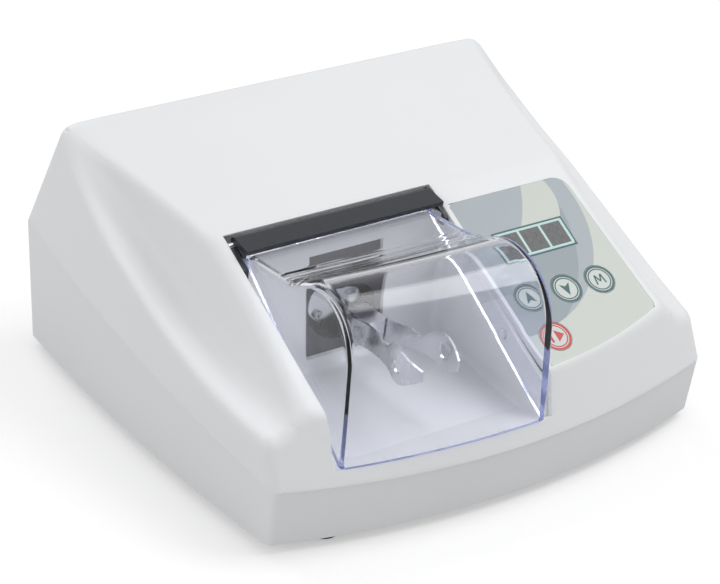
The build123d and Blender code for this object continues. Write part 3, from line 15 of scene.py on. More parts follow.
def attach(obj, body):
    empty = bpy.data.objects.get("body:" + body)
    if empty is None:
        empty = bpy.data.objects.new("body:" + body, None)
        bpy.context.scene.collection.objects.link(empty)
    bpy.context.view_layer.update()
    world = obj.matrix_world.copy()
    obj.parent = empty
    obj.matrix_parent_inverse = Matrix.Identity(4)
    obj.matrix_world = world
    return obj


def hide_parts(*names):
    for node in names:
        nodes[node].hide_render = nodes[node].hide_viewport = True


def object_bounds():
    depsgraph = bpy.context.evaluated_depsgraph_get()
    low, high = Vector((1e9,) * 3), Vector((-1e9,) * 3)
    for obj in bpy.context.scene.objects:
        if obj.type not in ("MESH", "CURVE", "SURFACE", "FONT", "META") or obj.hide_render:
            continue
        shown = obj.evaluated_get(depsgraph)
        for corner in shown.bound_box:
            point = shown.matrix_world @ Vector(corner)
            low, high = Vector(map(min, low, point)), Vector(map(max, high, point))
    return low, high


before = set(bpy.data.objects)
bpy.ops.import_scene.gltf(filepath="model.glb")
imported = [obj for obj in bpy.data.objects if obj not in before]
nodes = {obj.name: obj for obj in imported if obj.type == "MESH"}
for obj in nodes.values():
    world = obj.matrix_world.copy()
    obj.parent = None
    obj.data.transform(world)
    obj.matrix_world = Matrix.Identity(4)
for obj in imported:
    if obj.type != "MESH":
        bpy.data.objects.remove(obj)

cad_low, cad_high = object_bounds()

# %% [markdown]
# The camera stands to the front left and above, like the photographer: about 1.1 m away,
# with a long lens and a slight roll. Its numbers come from matching the outline of the case.

# %% Camera
focal_px = 2431.2
image_width_px = 720
sensor_mm = 36.0
camera_yaw = math.radians(37.2)
camera_pitch = math.radians(31.06)
camera_roll = math.radians(6.0)
camera_target = Vector((-0.02016, -0.00787, 0.060))
camera_distance = 1.10793


def look_axes(yaw, pitch, roll):
    """Right, up and back axes of a camera: back points from the target to the camera,
    right is square to it and level, and both turn about back by the roll."""
    back = Vector((-math.sin(yaw) * math.cos(pitch), -math.cos(yaw) * math.cos(pitch), math.sin(pitch)))
    right = (-back).cross(Vector((0, 0, 1))).normalized()
    up = right.cross(-back)
    turned_right = right * math.cos(roll) + up * math.sin(roll)
    turned_up = up * math.cos(roll) - right * math.sin(roll)
    return turned_right, turned_up, back


right, up, back = look_axes(camera_yaw, camera_pitch, camera_roll)
camera_data = bpy.data.cameras.new("camera")
camera_data.sensor_width = sensor_mm
camera_data.lens = focal_px / image_width_px * sensor_mm
camera_data.clip_start = 0.05
camera = bpy.data.objects.new("camera", camera_data)
place = camera_target + back * camera_distance
camera.matrix_world = Matrix((right, up, back)).transposed().to_4x4()
camera.location = place
bpy.context.scene.collection.objects.link(camera)
bpy.context.scene.camera = camera
print("camera at", [round(v, 4) for v in place])

# %% [markdown]
# Materials. Every finish is a small node tree on a Principled shader. Moulded plastic gets a
# very fine grain as a bump and a slow, faint change of roughness, so that broad pale faces
# don't look like computer plastic. Patterns read Object coordinates, because every piece
# stands at the origin and its place is in its mesh.

# %% Material helpers
grain_scale = 1400.0        # grains per metre, about 0.7 mm each
finishes = {}


def new_finish(name, colour, roughness, metallic=0.0):
    """An empty Principled material with one colour and one roughness on its own sockets."""
    material = bpy.data.materials.new(name)
    material.use_nodes = True
    shader = material.node_tree.nodes["Principled BSDF"]
    shader.inputs["Base Color"].default_value = (*colour, 1.0)
    shader.inputs["Roughness"].default_value = roughness
    shader.inputs["Metallic"].default_value = metallic
    material.diffuse_color = (*colour, 1.0)
    finishes[name] = material
    return material


def add_node(material, kind, **settings):
    """One more node; its keyword settings are attributes, or input values by socket name."""
    node = material.node_tree.nodes.new(kind)
    for key, value in settings.items():
        if hasattr(node, key):
            setattr(node, key, value)
        else:
            node.inputs[key.replace("_", " ")].default_value = value
    return node


def wire(material, source, target):
    """Links an output socket to an input socket."""
    material.node_tree.links.new(source, target)


def shader_of(material):
    """The Principled node of a material."""
    return material.node_tree.nodes["Principled BSDF"]


def grain(material, scale=grain_scale, depth=0.00002, strength=0.25, stretch=(1, 1, 1)):
    """Fine bump: noise on Object coordinates, stretched along an axis for brushed metal."""
    place = add_node(material, "ShaderNodeTexCoord")
    turn = add_node(material, "ShaderNodeMapping", Scale=stretch)
    noise = add_node(material, "ShaderNodeTexNoise", Scale=scale, Detail=3.0)
    bump = add_node(material, "ShaderNodeBump", Strength=strength, Distance=depth)
    wire(material, place.outputs["Object"], turn.inputs["Vector"])
    wire(material, turn.outputs["Vector"], noise.inputs["Vector"])
    wire(material, noise.outputs["Fac"], bump.inputs["Height"])
    wire(material, bump.outputs["Normal"], shader_of(material).inputs["Normal"])
    return material


def cloud(material, low, high, scale=30.0, detail=4.0, socket="Roughness"):
    """A slow change of roughness or colour between two values, from noise."""
    place = add_node(material, "ShaderNodeTexCoord")
    noise = add_node(material, "ShaderNodeTexNoise", Scale=scale, Detail=detail)
    wire(material, place.outputs["Object"], noise.inputs["Vector"])
    target = shader_of(material).inputs[socket]
    if socket == "Roughness":
        spread = add_node(material, "ShaderNodeMapRange")
        spread.inputs["To Min"].default_value = low
        spread.inputs["To Max"].default_value = high
        wire(material, noise.outputs["Fac"], spread.inputs["Value"])
        wire(material, spread.outputs["Result"], target)
    else:
        ramp = add_node(material, "ShaderNodeValToRGB")
        ramp.color_ramp.elements[0].position = 0.35
        ramp.color_ramp.elements[1].position = 0.65
        ramp.color_ramp.elements[0].color = (*low, 1.0)
        ramp.color_ramp.elements[1].color = (*high, 1.0)
        wire(material, noise.outputs["Fac"], ramp.inputs["Fac"])
        wire(material, ramp.outputs["Color"], target)
    return material


# %% Finishes of the machine
housing_white = new_finish("housing_white", (0.80, 0.81, 0.825), 0.42)
grain(housing_white, depth=0.000012, strength=0.2)
cloud(housing_white, 0.38, 0.46, scale=18.0)
cloud(housing_white, (0.795, 0.805, 0.82), (0.81, 0.82, 0.835), scale=9.0, socket="Base Color")

chamber_white = new_finish("chamber_white", (0.80, 0.80, 0.81), 0.32)
grain(chamber_white, depth=0.000006, strength=0.15)
cloud(chamber_white, 0.28, 0.36, scale=25.0)
cloud(chamber_white, (0.79, 0.79, 0.80), (0.81, 0.81, 0.82), scale=12.0, socket="Base Color")

charcoal = new_finish("charcoal", (0.028, 0.031, 0.038), 0.38)
grain(charcoal, depth=0.00001, strength=0.2)
cloud(charcoal, 0.33, 0.43, scale=60.0)

black_plastic = new_finish("black_plastic", (0.018, 0.018, 0.02), 0.45)
grain(black_plastic, depth=0.00001, strength=0.25)
cloud(black_plastic, 0.4, 0.52, scale=80.0)

rubber = new_finish("rubber", (0.02, 0.02, 0.02), 0.8)
grain(rubber, scale=900.0, depth=0.00003, strength=0.35)
cloud(rubber, 0.7, 0.9, scale=120.0)

polished_steel = new_finish("polished_steel", (0.80, 0.80, 0.82), 0.16, metallic=1.0)
cloud(polished_steel, 0.09, 0.22, scale=220.0)
grain(polished_steel, scale=700.0, depth=0.000004, strength=0.1)

spring_steel = new_finish("spring_steel", (0.72, 0.72, 0.75), 0.24, metallic=1.0)
cloud(spring_steel, 0.16, 0.36, scale=160.0)
grain(spring_steel, scale=1500.0, depth=0.00001, strength=0.25, stretch=(1.0, 0.12, 1.0))

zinc = new_finish("zinc", (0.55, 0.56, 0.57), 0.3, metallic=1.0)
cloud(zinc, (0.48, 0.49, 0.51), (0.60, 0.61, 0.62), scale=140.0, socket="Base Color")
grain(zinc, scale=1100.0, depth=0.000006, strength=0.2)

guard_coat = new_finish("guard_coat", (0.055, 0.050, 0.070), 0.34, metallic=0.6)
cloud(guard_coat, 0.28, 0.42, scale=90.0)
grain(guard_coat, depth=0.00001, strength=0.2)

core_steel = new_finish("core_steel", (0.20, 0.19, 0.19), 0.5, metallic=0.7)
cloud(core_steel, 0.4, 0.6, scale=150.0)

red_lacquer = new_finish("red_lacquer", (0.55, 0.02, 0.015), 0.3)
cloud(red_lacquer, 0.25, 0.38, scale=150.0)

board_green = new_finish("board_green", (0.02, 0.16, 0.06), 0.35)
cloud(board_green, (0.015, 0.13, 0.05), (0.03, 0.19, 0.075), scale=260.0, detail=8.0, socket="Base Color")

brass = new_finish("brass", (0.62, 0.45, 0.17), 0.25, metallic=1.0)
cloud(brass, 0.2, 0.35, scale=300.0)

fuse_glass = new_finish("fuse_glass", (0.85, 0.9, 0.9), 0.08)
shader_of(fuse_glass).inputs["Transmission Weight"].default_value = 0.8
cloud(fuse_glass, 0.05, 0.12, scale=200.0)
print(len(finishes), "finishes")

# %% [markdown]
# Most solids of the frame already have the right shape, so they stay and only get their
# finish. The table below says which finish each of them wears.

# %% Finishes of the frame's own solids
wears = {
    housing_white: ["base_shell", "upper_shell"],
    chamber_white: ["mixing_chamber_tub", "switch_plunger"],
    charcoal: ["hinge_bar", "hinge_brackets"],
    black_plastic: ["lid_switch", "tact_switches", "rear_panel", "power_inlet", "fuse_drawer",
                    "rocker_frame", "power_rocker", "digit_display"],
    rubber: ["feet", "isolators"],
    polished_steel: ["shaker_arm", "ball_cap", "ball_bush", "motor_shaft", "shaft_bearings"],
    spring_steel: ["fork_prong_left", "fork_prong_right"],
    zinc: ["hinge_pins", "board_screws", "fork_bolts", "ball_cap_screws", "motor_screws",
           "isolator_screws", "guard_screws", "rear_panel_screws", "case_screws", "feet_screws",
           "motor_carriage", "motor_housing", "motor_end_cap"],
    guard_coat: ["guard_plate"],
    core_steel: ["counterweight", "rotor", "stator", "transformer"],
    red_lacquer: ["transport_screws"],
    board_green: ["control_board", "power_board"],
    brass: ["inlet_pins"],
    fuse_glass: ["fuses"],
}


def wear(thing, material):
    """Gives an object one material on all its faces."""
    thing.data.materials.clear()
    thing.data.materials.append(material)


dressed = 0
for material, names in wears.items():
    for name in names:
        wear(nodes[name], material)
        dressed += 1
print(dressed, "solids dressed")

# %% [markdown]
# Now the shapes. Each new piece is a sheet: a grid of outer points, the same grid moved
# inwards by the wall, and a strip of faces along every free edge that joins the two. One
# helper does this for the housing and the lid. The housing's free edges are then bevelled
# a little, because no moulded edge is sharp, and a soft light line along it is what the eye
# reads as plastic.

# %% Sheet helpers
mm = 0.001
smooth_angle = 35.0         # degrees; sharper corners keep a hard edge


def grid_faces(rows, columns, keep=None):
    """Quads of a grid of points, counted row by row; keep says which cells exist."""
    cell = np.arange(rows - 1)[:, None] * columns + np.arange(columns - 1)[None, :]
    quads = np.stack([cell, cell + 1, cell + columns + 1, cell + columns], axis=-1)
    return quads.reshape(-1, 4) if keep is None else quads[keep]


def free_edges(faces):
    """Edges that only one face uses, in that face's own direction."""
    pairs = np.concatenate([np.stack([faces[:, i], faces[:, (i + 1) % 4]], 1) for i in range(4)])
    order = np.sort(pairs, axis=1)
    _, first, count = np.unique(order, axis=0, return_index=True, return_counts=True)
    return pairs[first[count == 1]]


def make_mesh(name, points, faces):
    """Mesh object from points in millimetres and faces, smooth up to the smooth angle."""
    mesh = bpy.data.meshes.new(name)
    used, index = np.unique(np.asarray(faces).ravel(), return_inverse=True)
    index = index.reshape(np.asarray(faces).shape)
    mesh.from_pydata((np.asarray(points)[used] * mm).tolist(), [], index.tolist())
    mesh.validate()
    thing = bpy.data.objects.new(name, mesh)
    bpy.context.scene.collection.objects.link(thing)
    soften(thing, smooth_angle)
    return thing


def soften(thing, angle):
    """Smooth shading, with hard edges where faces meet at more than the angle."""
    thing.data.shade_smooth()
    thing.data.set_sharp_from_angle(angle=math.radians(angle))


def settle(thing):
    """Puts the result of an object's modifiers into its mesh."""
    bpy.context.view_layer.update()
    final = bpy.data.meshes.new_from_object(thing.evaluated_get(bpy.context.evaluated_depsgraph_get()))
    thing.modifiers.clear()
    thing.data = final
    return thing


def round_edges(thing, width, segments=2, angle=40.0):
    """Bevels the sharp edges of a finished form."""
    bevel = thing.modifiers.new("soft edges", "BEVEL")
    bevel.width = width * mm
    bevel.segments = segments
    bevel.limit_method = "ANGLE"
    bevel.angle_limit = math.radians(angle)
    bevel.use_clamp_overlap = True
    settle(thing)
    soften(thing, smooth_angle)


def sheet_with_rim(name, outer, inner, keep=None):
    """Closed sheet from two point grids (rows, columns, 3): outer side, inner side, rims.
    Faces wind so that the outer side looks away from the inner one."""
    rows, columns = outer.shape[:2]
    outside = grid_faces(rows, columns, keep)
    count = rows * columns
    inside = outside[:, ::-1] + count
    rim = free_edges(outside)
    strip = np.stack([rim[:, 1], rim[:, 0], rim[:, 0] + count, rim[:, 1] + count], axis=1)
    points = np.concatenate([outer.reshape(-1, 3), inner.reshape(-1, 3)])
    return make_mesh(name, points, np.concatenate([outside, inside, strip]))


def cut_away(thing, cutter):
    """Takes the cutter's solid out of an object, and deletes the cutter."""
    cut = thing.modifiers.new("cut", "BOOLEAN")
    cut.operation = "DIFFERENCE"
    cut.solver = "EXACT"
    cut.object = cutter
    settle(thing)
    bpy.data.objects.remove(cutter)


def prism(name, loop, along):
    """Solid between a closed loop of points and the same loop moved along a vector."""
    loop = np.asarray(loop, float)
    count = len(loop)
    points = np.concatenate([loop, loop + np.asarray(along, float)])
    mesh = bpy.data.meshes.new(name)
    ring = [[i, (i + 1) % count, (i + 1) % count + count, i + count] for i in range(count)]
    ends = [list(range(count))[::-1], [i + count for i in range(count)]]
    mesh.from_pydata((points * mm).tolist(), [], ring + ends)
    thing = bpy.data.objects.new(name, mesh)
    bpy.context.scene.collection.objects.link(thing)
    return thing


# %% [markdown]
# The upper housing is the largest thing in view: a hood that rises out of two shoulders,
# with leaning walls all round. Each of these is nearly a plane. As a distance function a
# rounded corner between two of them is easy: where both distances are small, the length of
# their pair replaces the larger one, which is the formula of a fillet. So the housing is
# three lines of rounded unions and intersections. Its grid first lands on the sharp form,
# with columns along the ridges and rows along the creases, and then a few Newton steps
# carry each point down the slope of the distance onto the rounded form.

# %% The case's planes, as in the solids
case_front = float(cad_low.y) / mm
case_rear = -case_front
part_front_z, part_rear_z = 33.9, 64.5
front_bow = 17.0
corner_y = case_front + front_bow
kink_back, kink_z = 111.9, 101.4
top_rise, front_fall = 0.1396, 0.46
kink_blend = 3.8            # half length of the round break between top and front plane
ridge_lean = 0.20
side_lean_rear, side_lean_front, front_lean, rear_lean = 0.245, 0.13, 0.486, 0.19
half_rear, half_front, side_bulge = 130.0, 118.5, 4.9
hood_line = np.array([(222, 115.5, 116.5), (207.6, 114.5, 115.0), (187, 111.3, 111.9), (163, 106.0, 108.6),
                      (141, 101.8, 105.5), (120, 98.5, 102.5), (95, 97.2, 93.6), (70, 97.8, 82.1),
                      (26, 101.0, 61.9), (-5, 103.5, 47.6)])[::-1]
shoulder_line = np.array([(220, 118.5, 118.0, 117.9), (207.6, 116.5, 112.3, 111.6),
                          (194.4, 115.0, 106.0, 104.9), (174.4, 112.0, 96.3, 95.6),
                          (154.4, 108.5, 85.9, 87.1), (134.4, 105.5, 76.3, 80.3),
                          (114.4, 104.0, 69.5, 73.3), (94.4, 103.2, 64.4, 67.2),
                          (74.4, 103.2, 60.3, 61.8), (54.4, 104.0, 57.5, 57.3),
                          (34.4, 105.5, 55.4, 54.0), (10.0, 107.0, 53.4, 50.6),
                          (-5.0, 108.0, 52.2, 48.4)])[::-1]
shoulder_crease_x = 122.0
ridge_round, crease_round, valley_round, side_round, corner_round = 5.0, 2.5, 9.0, 3.5, 4.0
side_round_from, side_round_over = 95, 10   # x where the crease's round begins to grow, and over how far
side_lean_mean = 0.2
shoulder_fall_squared = 0.25                # the shoulder's mean fall to the front is 0.5


def smooth_table(table, column, back):
    """A column of a table over the distance behind the front, as a smooth curve: each
    value's slope is that of its neighbours, and cubic pieces join them."""
    x, y = table[:, 0], table[:, column]
    slope = np.gradient(y, x)
    place = np.clip(np.searchsorted(x, back) - 1, 0, len(x) - 2)
    step = x[place + 1] - x[place]
    t = np.clip((back - x[place]) / step, 0, 1)
    a, b = y[place], y[place + 1]
    sa, sb = slope[place] * step, slope[place + 1] * step
    return (a * (1 + 2 * t) * (1 - t) ** 2 + sa * t * (1 - t) ** 2
            + b * t * t * (3 - 2 * t) - sb * t * t * (1 - t))


def part_height(y):
    """Height of the sloping parting plane."""
    return part_front_z + (part_rear_z - part_front_z) * (y - corner_y) / (case_rear - corner_y)


def roof_height(y):
    """Top plane and front plane; between them a parabola that touches both."""
    off = y - (case_front + kink_back)
    top, front = kink_z + top_rise * off, kink_z + front_fall * off
    both = kink_z + (front_fall + top_rise) / 2 * off - (front_fall - top_rise) / (4 * kink_blend) * (
        off ** 2 + kink_blend ** 2)
    return np.where(off > kink_blend, top, np.where(off < -kink_blend, front, both))


def side_x(y, z):
    """Half width of the leaning side walls at a place y and a height z."""
    t = (y - corner_y) / (case_rear - corner_y)
    rear = half_rear - side_lean_rear * (z - part_rear_z)
    front = half_front - side_lean_front * (z - part_front_z)
    return front + (rear - front) * t + 4 * side_bulge * t * (1 - t)


def front_y(x, z):
    """Y of the bowed, leaning front face."""
    corner = corner_y + front_lean * (z - part_front_z)
    apex = case_front + front_lean * (z - part_height(case_front))
    half = half_front - side_lean_front * (z - part_front_z)
    return apex + (corner - apex) * (x / half) ** 2


def rear_y(z):
    """Y of the leaning rear wall."""
    return case_rear - rear_lean * (z - part_rear_z)


def round_and(a, b, radius):
    """Distance to what two forms share, with a fillet on its outer corner."""
    corner = np.hypot(np.maximum(radius + a, 0), np.maximum(radius + b, 0))
    return np.minimum(-radius, np.maximum(a, b)) + corner


def round_or(a, b, radius):
    """Distance to two forms together, with a fillet in the corner between them."""
    corner = np.hypot(np.maximum(radius - a, 0), np.maximum(radius - b, 0))
    return np.maximum(radius, np.minimum(a, b)) - corner


def housing_top(x, y, z, rounding):
    """Distance to the hood and the shoulders together, without the outer walls."""
    back = y - case_front
    width = np.abs(x)
    half = smooth_table(hood_line, 1, back) + ridge_lean * (smooth_table(hood_line, 2, back) - z)
    ridge = (width - half) / math.hypot(1, ridge_lean)
    roof_slope = np.where(back > kink_back, top_rise, front_fall)
    roof = (z - roof_height(y)) / np.hypot(1, roof_slope)
    valley_x, valley_z, crease_z = [smooth_table(shoulder_line, i, back) for i in (1, 2, 3)]
    slope = (crease_z - valley_z) / (shoulder_crease_x - valley_x)
    rise = slope * np.maximum(width - valley_x, 0)
    shoulder = (z - valley_z - rise) / np.sqrt(1 + slope ** 2 + shoulder_fall_squared)
    hood = round_and(roof, ridge, ridge_round * rounding)
    return round_or(hood, shoulder, valley_round * rounding)


def housing_walls(x, y, z, rounding):
    """Distance to the space between the leaning walls."""
    side = (np.abs(x) - side_x(y, z)) / math.hypot(1, side_lean_mean)
    front = (front_y(x, z) - y) / math.hypot(1, front_lean)
    rear = (y - rear_y(z)) / math.hypot(1, rear_lean)
    return round_and(side, np.maximum(front, rear), corner_round * rounding)


def housing(points, rounding):
    """Distance to the upper housing; negative inside. rounding 0 gives the sharp form."""
    x, y, z = np.moveaxis(points, -1, 0)
    radius = crease_round + (side_round - crease_round) * np.clip(
        (np.abs(x) - side_round_from) / side_round_over, 0, 1)
    return round_and(housing_walls(x, y, z, rounding), housing_top(x, y, z, rounding), radius * rounding)


def slope_of(distance, points, step=0.02):
    """Gradient of a distance function by central differences along the three axes."""
    parts = []
    for axis in np.eye(3) * step:
        parts.append((distance(points + axis) - distance(points - axis)) / (2 * step))
    return np.stack(parts, axis=-1)


print("upper housing at the middle of the roof:", round(float(roof_height(0.0)), 2), "mm high")

# %% Grid of the upper housing
open_left = [(-15.0, -91.5), (10.0, -91.0), (20.0, -89.8), (112.1, -89.8)]
open_right = [(-15.0, 16.8), (-2.0, 16.8), (12.0, 22.2), (112.1, 21.0)]
open_rear = case_front + 112.1
sill_z = 39.0
near_edge = 7.0             # width of the finer band beside a ridge or crease


def height_over(distance, x, y):
    """Height where a form ends over (x, y): the interval around it is halved 30 times."""
    low, high = np.full(np.shape(x), 20.0), np.full(np.shape(x), 135.0)
    for _ in range(30):
        middle = (low + high) / 2
        inside = distance(x, y, middle) < 0
        low, high = np.where(inside, middle, low), np.where(inside, high, middle)
    return (low + high) / 2


def sharp_top(x, y):
    """Height of hood and shoulders over (x, y), with sharp edges."""
    return height_over(lambda a, b, c: housing_top(a, b, c, 0.001), x, y)


def column_places(y):
    """The columns that follow features, from left to right, for every y: parting line,
    side crease, valley, ridge, both edges of the opening, and the same on the right."""
    back = y - case_front
    ridge = smooth_table(hood_line, 1, back)
    part = side_x(y, part_height(y))
    valley = ridge + 2
    crease = part - 5
    for _ in range(12):
        valley_x, valley_z, crease_z = [smooth_table(shoulder_line, i, back) for i in (1, 2, 3)]
        slope = (crease_z - valley_z) / (shoulder_crease_x - valley_x)
        lean = ridge_lean * (smooth_table(hood_line, 2, back) - valley_z - slope * (valley - valley_x))
        valley = np.maximum(ridge + lean, ridge + 1.5)
        crease = side_x(y, np.minimum(valley_z + slope * (crease - valley_x), 125.0))
    left = np.interp(back, *np.transpose(open_left))
    middle = np.interp(back, *np.transpose(open_right))
    crease = np.maximum(crease, valley + 1.5)
    crease = np.minimum(crease, part - 0.5)
    return np.stack([-part, -crease, -valley, -ridge, left, middle, ridge - near_edge, ridge, valley, crease,
                     part], axis=-1)


def row_places(x):
    """The rows that follow features, from front to rear, for every x: parting line, sill,
    front crease, rear edge of the opening, rear crease, parting line."""
    part = front_y(x, part_front_z)
    crease = part + 9
    rear = np.full(np.shape(x), case_rear - 8.0)
    for _ in range(12):
        part = front_y(x, part_height(part))
        crease = front_y(x, sharp_top(x, crease))
        rear = rear_y(sharp_top(x, rear))
    opening = np.full(np.shape(x), open_rear)
    parting = np.full(np.shape(x), case_rear)
    return np.stack([part, front_y(x, sill_z), crease, crease + near_edge, opening - near_edge / 2, opening,
                     opening + near_edge / 2, rear - near_edge, rear, parting], axis=-1)


def spread(counts, powers):
    """For each grid line: which stretch it lies in and how far along it, 0 to 1. A power
    over 1 crowds the lines of a stretch towards its start, a negative one towards its end."""
    stretch, share = [], []
    for i, (count, power) in enumerate(zip(counts, powers)):
        t = np.arange(count) / count
        stretch.extend([i] * count)
        share.extend(t ** power if power > 0 else 1 - (1 - t) ** -power)
    stretch.append(len(counts) - 1)
    share.append(1.0)
    return np.array(stretch), np.array(share)


def along(knots, stretch, share):
    """Place of a grid line between the two features that bound its stretch."""
    low = np.take_along_axis(knots, stretch[..., None], axis=-1)[..., 0]
    high = np.take_along_axis(knots, stretch[..., None] + 1, axis=-1)[..., 0]
    return low + (high - low) * share


column_stretch, column_share = spread([16, 12, 14, 6, 16, 18, 7, 14, 12, 16],
                                      [-1.4, 1, 1, 1, 1, 1, 1, 1, 1, 1.4])
row_stretch, row_share = spread([4, 12, 6, 34, 4, 4, 30, 6, 16], [1, 1, 1, 1, 1, 1, 1, 1, 1.2])
shape = (len(row_stretch), len(column_stretch))
column_stretch = np.broadcast_to(column_stretch[None, :], shape)
column_share = np.broadcast_to(column_share[None, :], shape)
row_stretch = np.broadcast_to(row_stretch[:, None], shape)
row_share = np.broadcast_to(row_share[:, None], shape)
plan_y = np.interp(row_stretch + row_share, [0, 9], [case_front + 12, case_rear])
plan_x = np.zeros(shape)
for _ in range(8):
    plan_x = along(column_places(plan_y), column_stretch, column_share)
    plan_y = along(row_places(plan_x), row_stretch, row_share)
print("housing grid:", shape, "x to", round(float(plan_x.max()), 1), "mm")

# %% Upper housing: land on the sharp form, then walk to the rounded one
wall = 3.0
sharp = lambda x, y, z: housing(np.stack([x, y, z], -1), 0.001)
outer = np.stack([plan_x, plan_y, height_over(sharp, plan_x, plan_y)], axis=-1)
on_parting = np.zeros(shape, bool)
on_parting[[0, -1], :] = True
on_parting[:, [0, -1]] = True
outer[on_parting, 2] = part_height(outer[on_parting, 1])
parting_slope = (part_rear_z - part_front_z) / (case_rear - corner_y)
parting_normal = np.array([0, -parting_slope, 1]) / math.hypot(1, parting_slope)


def walk(points, distance, level, fixed_plane, steps=14):
    """Newton steps: each point moves along the slope of the distance until the distance is
    the level. Points of the rim stay in the parting plane."""
    for _ in range(steps):
        slope = slope_of(distance, points)
        inside_plane = slope - (slope @ parting_normal)[..., None] * parting_normal
        slope = np.where(fixed_plane[..., None], inside_plane, slope)
        size = np.maximum((slope ** 2).sum(-1), 0.05)
        move = -((distance(points) - level) / size)[..., None] * slope
        points = points + np.clip(move, -2, 2)
    return points, slope


outer, slope = walk(outer, lambda p: housing(p, 1.0), 0.0, on_parting)
normal = slope / np.linalg.norm(slope, axis=-1, keepdims=True)
inner, _ = walk(outer - wall * normal, lambda p: housing(p, 0.4), -wall, on_parting, steps=6)
open_cells = (column_stretch[:-1, :-1] == 4) & np.isin(row_stretch[:-1, :-1], [1, 2, 3, 4])
upper_housing = sheet_with_rim("upper_housing", outer, inner, ~open_cells)
round_edges(upper_housing, 0.45)
print("upper housing:", len(upper_housing.data.polygons), "faces, highest point",
      round(float(outer[..., 2].max()), 2), "mm")

# %% [markdown]
# The lid is one bent sheet of clear plastic. Its side outline is two straight runs and two
# large rounds; that outline is carried across the width, and at each side it turns down
# over a small round into a wall that ends at a slanting lower edge. Clear plastic is easiest
# as a true transmitting shader on a closed sheet, because then its edges look darker and
# bluer by themselves, helped by a painted dark blue on the faces of the free edges: painted
# shade that stands in for the light reflected inside the sheet at its edges.

# %% Side outline of the lid
lid_thickness = 2.8
lid_side_lean = 0.0235
lid_left_x, lid_right_x = -88.3, 14.7
lid_round = 4.5
lid_low_z = 39.3
lid_corners = np.array([(2.72, lid_low_z), (9.8, 129.7), (63.5, 102.4), (97.9, 98.0)])
lid_rounds = (27.2, 25.0)
lid_skirt = np.array([(5.5, 40.5), (93.5, 93.0), (97.9, 95.3)])
lid_front_back, lid_rear_back = 2.7, 97.9   # between them the bow of the front fades out
rib_backs = (58.5, 62.5, 66.5, 70.5)
rib_height, rib_half = 0.45, 1.1
rib_floor = 95              # the ribs lie above this height only
tongue_left, tongue_right = -86.2, 10.3
tongue_low, tongue_top = 95.4, 98.1
tongue_back, tongue_depth = 97.6, 6.8


def rounded_line(corners, radii, spacing):
    """Points along straight runs with an arc of the given radius at each inner corner.
    The arc starts radius * tan(half the turn) before the corner."""
    pieces = [corners[:1]]
    for before, corner, after, radius in zip(corners, corners[1:], corners[2:], radii):
        a = (before - corner) / np.linalg.norm(before - corner)
        b = (after - corner) / np.linalg.norm(after - corner)
        half = (math.pi - math.acos(np.clip(a @ b, -1, 1))) / 2
        reach = radius * math.tan(half)
        centre = corner + (a + b) / np.linalg.norm(a + b) * radius / math.cos(half)
        start, end = corner + a * reach - centre, corner + b * reach - centre
        t = np.linspace(0, 1, max(6, int(2 * half * radius / spacing)))[:, None]
        arc = (start * np.sin((1 - t) * 2 * half) + end * np.sin(t * 2 * half)) / math.sin(2 * half)
        pieces.append(centre + arc)
    pieces.append(corners[-1:])
    line = np.concatenate(pieces)
    length = np.concatenate([[0], np.cumsum(np.linalg.norm(np.diff(line, axis=0), axis=1))])
    even = np.linspace(0, length[-1], int(length[-1] / spacing))
    return np.stack([np.interp(even, length, line[:, i]) for i in (0, 1)], axis=1)


outline = rounded_line(lid_corners, lid_rounds, 1.2)
tangent = np.gradient(outline, axis=0)
tangent /= np.linalg.norm(tangent, axis=1, keepdims=True)
outward = np.stack([-tangent[:, 1], tangent[:, 0]], axis=1)
ribs = sum(np.exp(-((outline[:, 0] - rib) / (rib_half * 0.6)) ** 2) for rib in rib_backs)
outline_top = outline + outward * (rib_height * ribs * (outline[:, 1] > rib_floor))[:, None]
skirt_length = np.concatenate([[0], np.cumsum(np.linalg.norm(np.diff(lid_skirt, axis=0), axis=1))])
skirt_place = np.interp(outline[:, 0], lid_skirt[:, 0], skirt_length)
skirt_edge = np.stack([np.interp(skirt_place, skirt_length, lid_skirt[:, i]) for i in (0, 1)], axis=1)
print("lid outline:", len(outline), "points")

# %% Carry the outline across and turn it down at the sides


def lid_grid(depth):
    """Points of the lid's outer form (depth 0) or of its inner form, moved in by depth.
    Across the width: a wall from the slanting edge up, a round, the top, and back down."""
    base = outline_top if depth == 0 else outline - outward * depth
    down = skirt_edge - base
    drop = np.maximum(np.linalg.norm(down, axis=1), 0.4)
    down = down / drop[:, None]
    radius = np.minimum(lid_round - depth, drop * 0.8)
    angle = np.linspace(0, math.pi / 2, 8)
    rows = []
    for side, edge_x in ((-1, lid_left_x), (1, lid_right_x)):
        wall_share = np.linspace(1, 0, 14)[:-1]
        wall = drop[:, None] * wall_share + radius[:, None] * (1 - wall_share)
        turn = radius[:, None] * (1 - np.sin(angle))
        fall = np.concatenate([wall, turn], axis=1)
        inset = np.concatenate([np.zeros_like(wall), radius[:, None] * (1 - np.cos(angle))], axis=1) + depth
        place = base[:, None, :] + down[:, None, :] * fall[..., None]
        x = edge_x - side * (inset + lid_side_lean * (place[..., 1] - sill_z))
        rows.append(np.concatenate([x[..., None], place], axis=-1))
    left, right = rows[0], rows[1][:, ::-1]
    share = np.linspace(0, 1, 22)[1:-1][:, None]
    top = left[:, -1:, :] * (1 - share) + right[:, :1, :] * share
    grid = np.concatenate([left, top, right], axis=1)
    x, back, z = np.moveaxis(grid, -1, 0)
    fade = np.clip((lid_rear_back - back) / (lid_rear_back - lid_front_back), 0, 1)
    y = case_front + back + front_bow * (x / half_front) ** 2 * fade
    return np.stack([x, y, z], axis=-1)


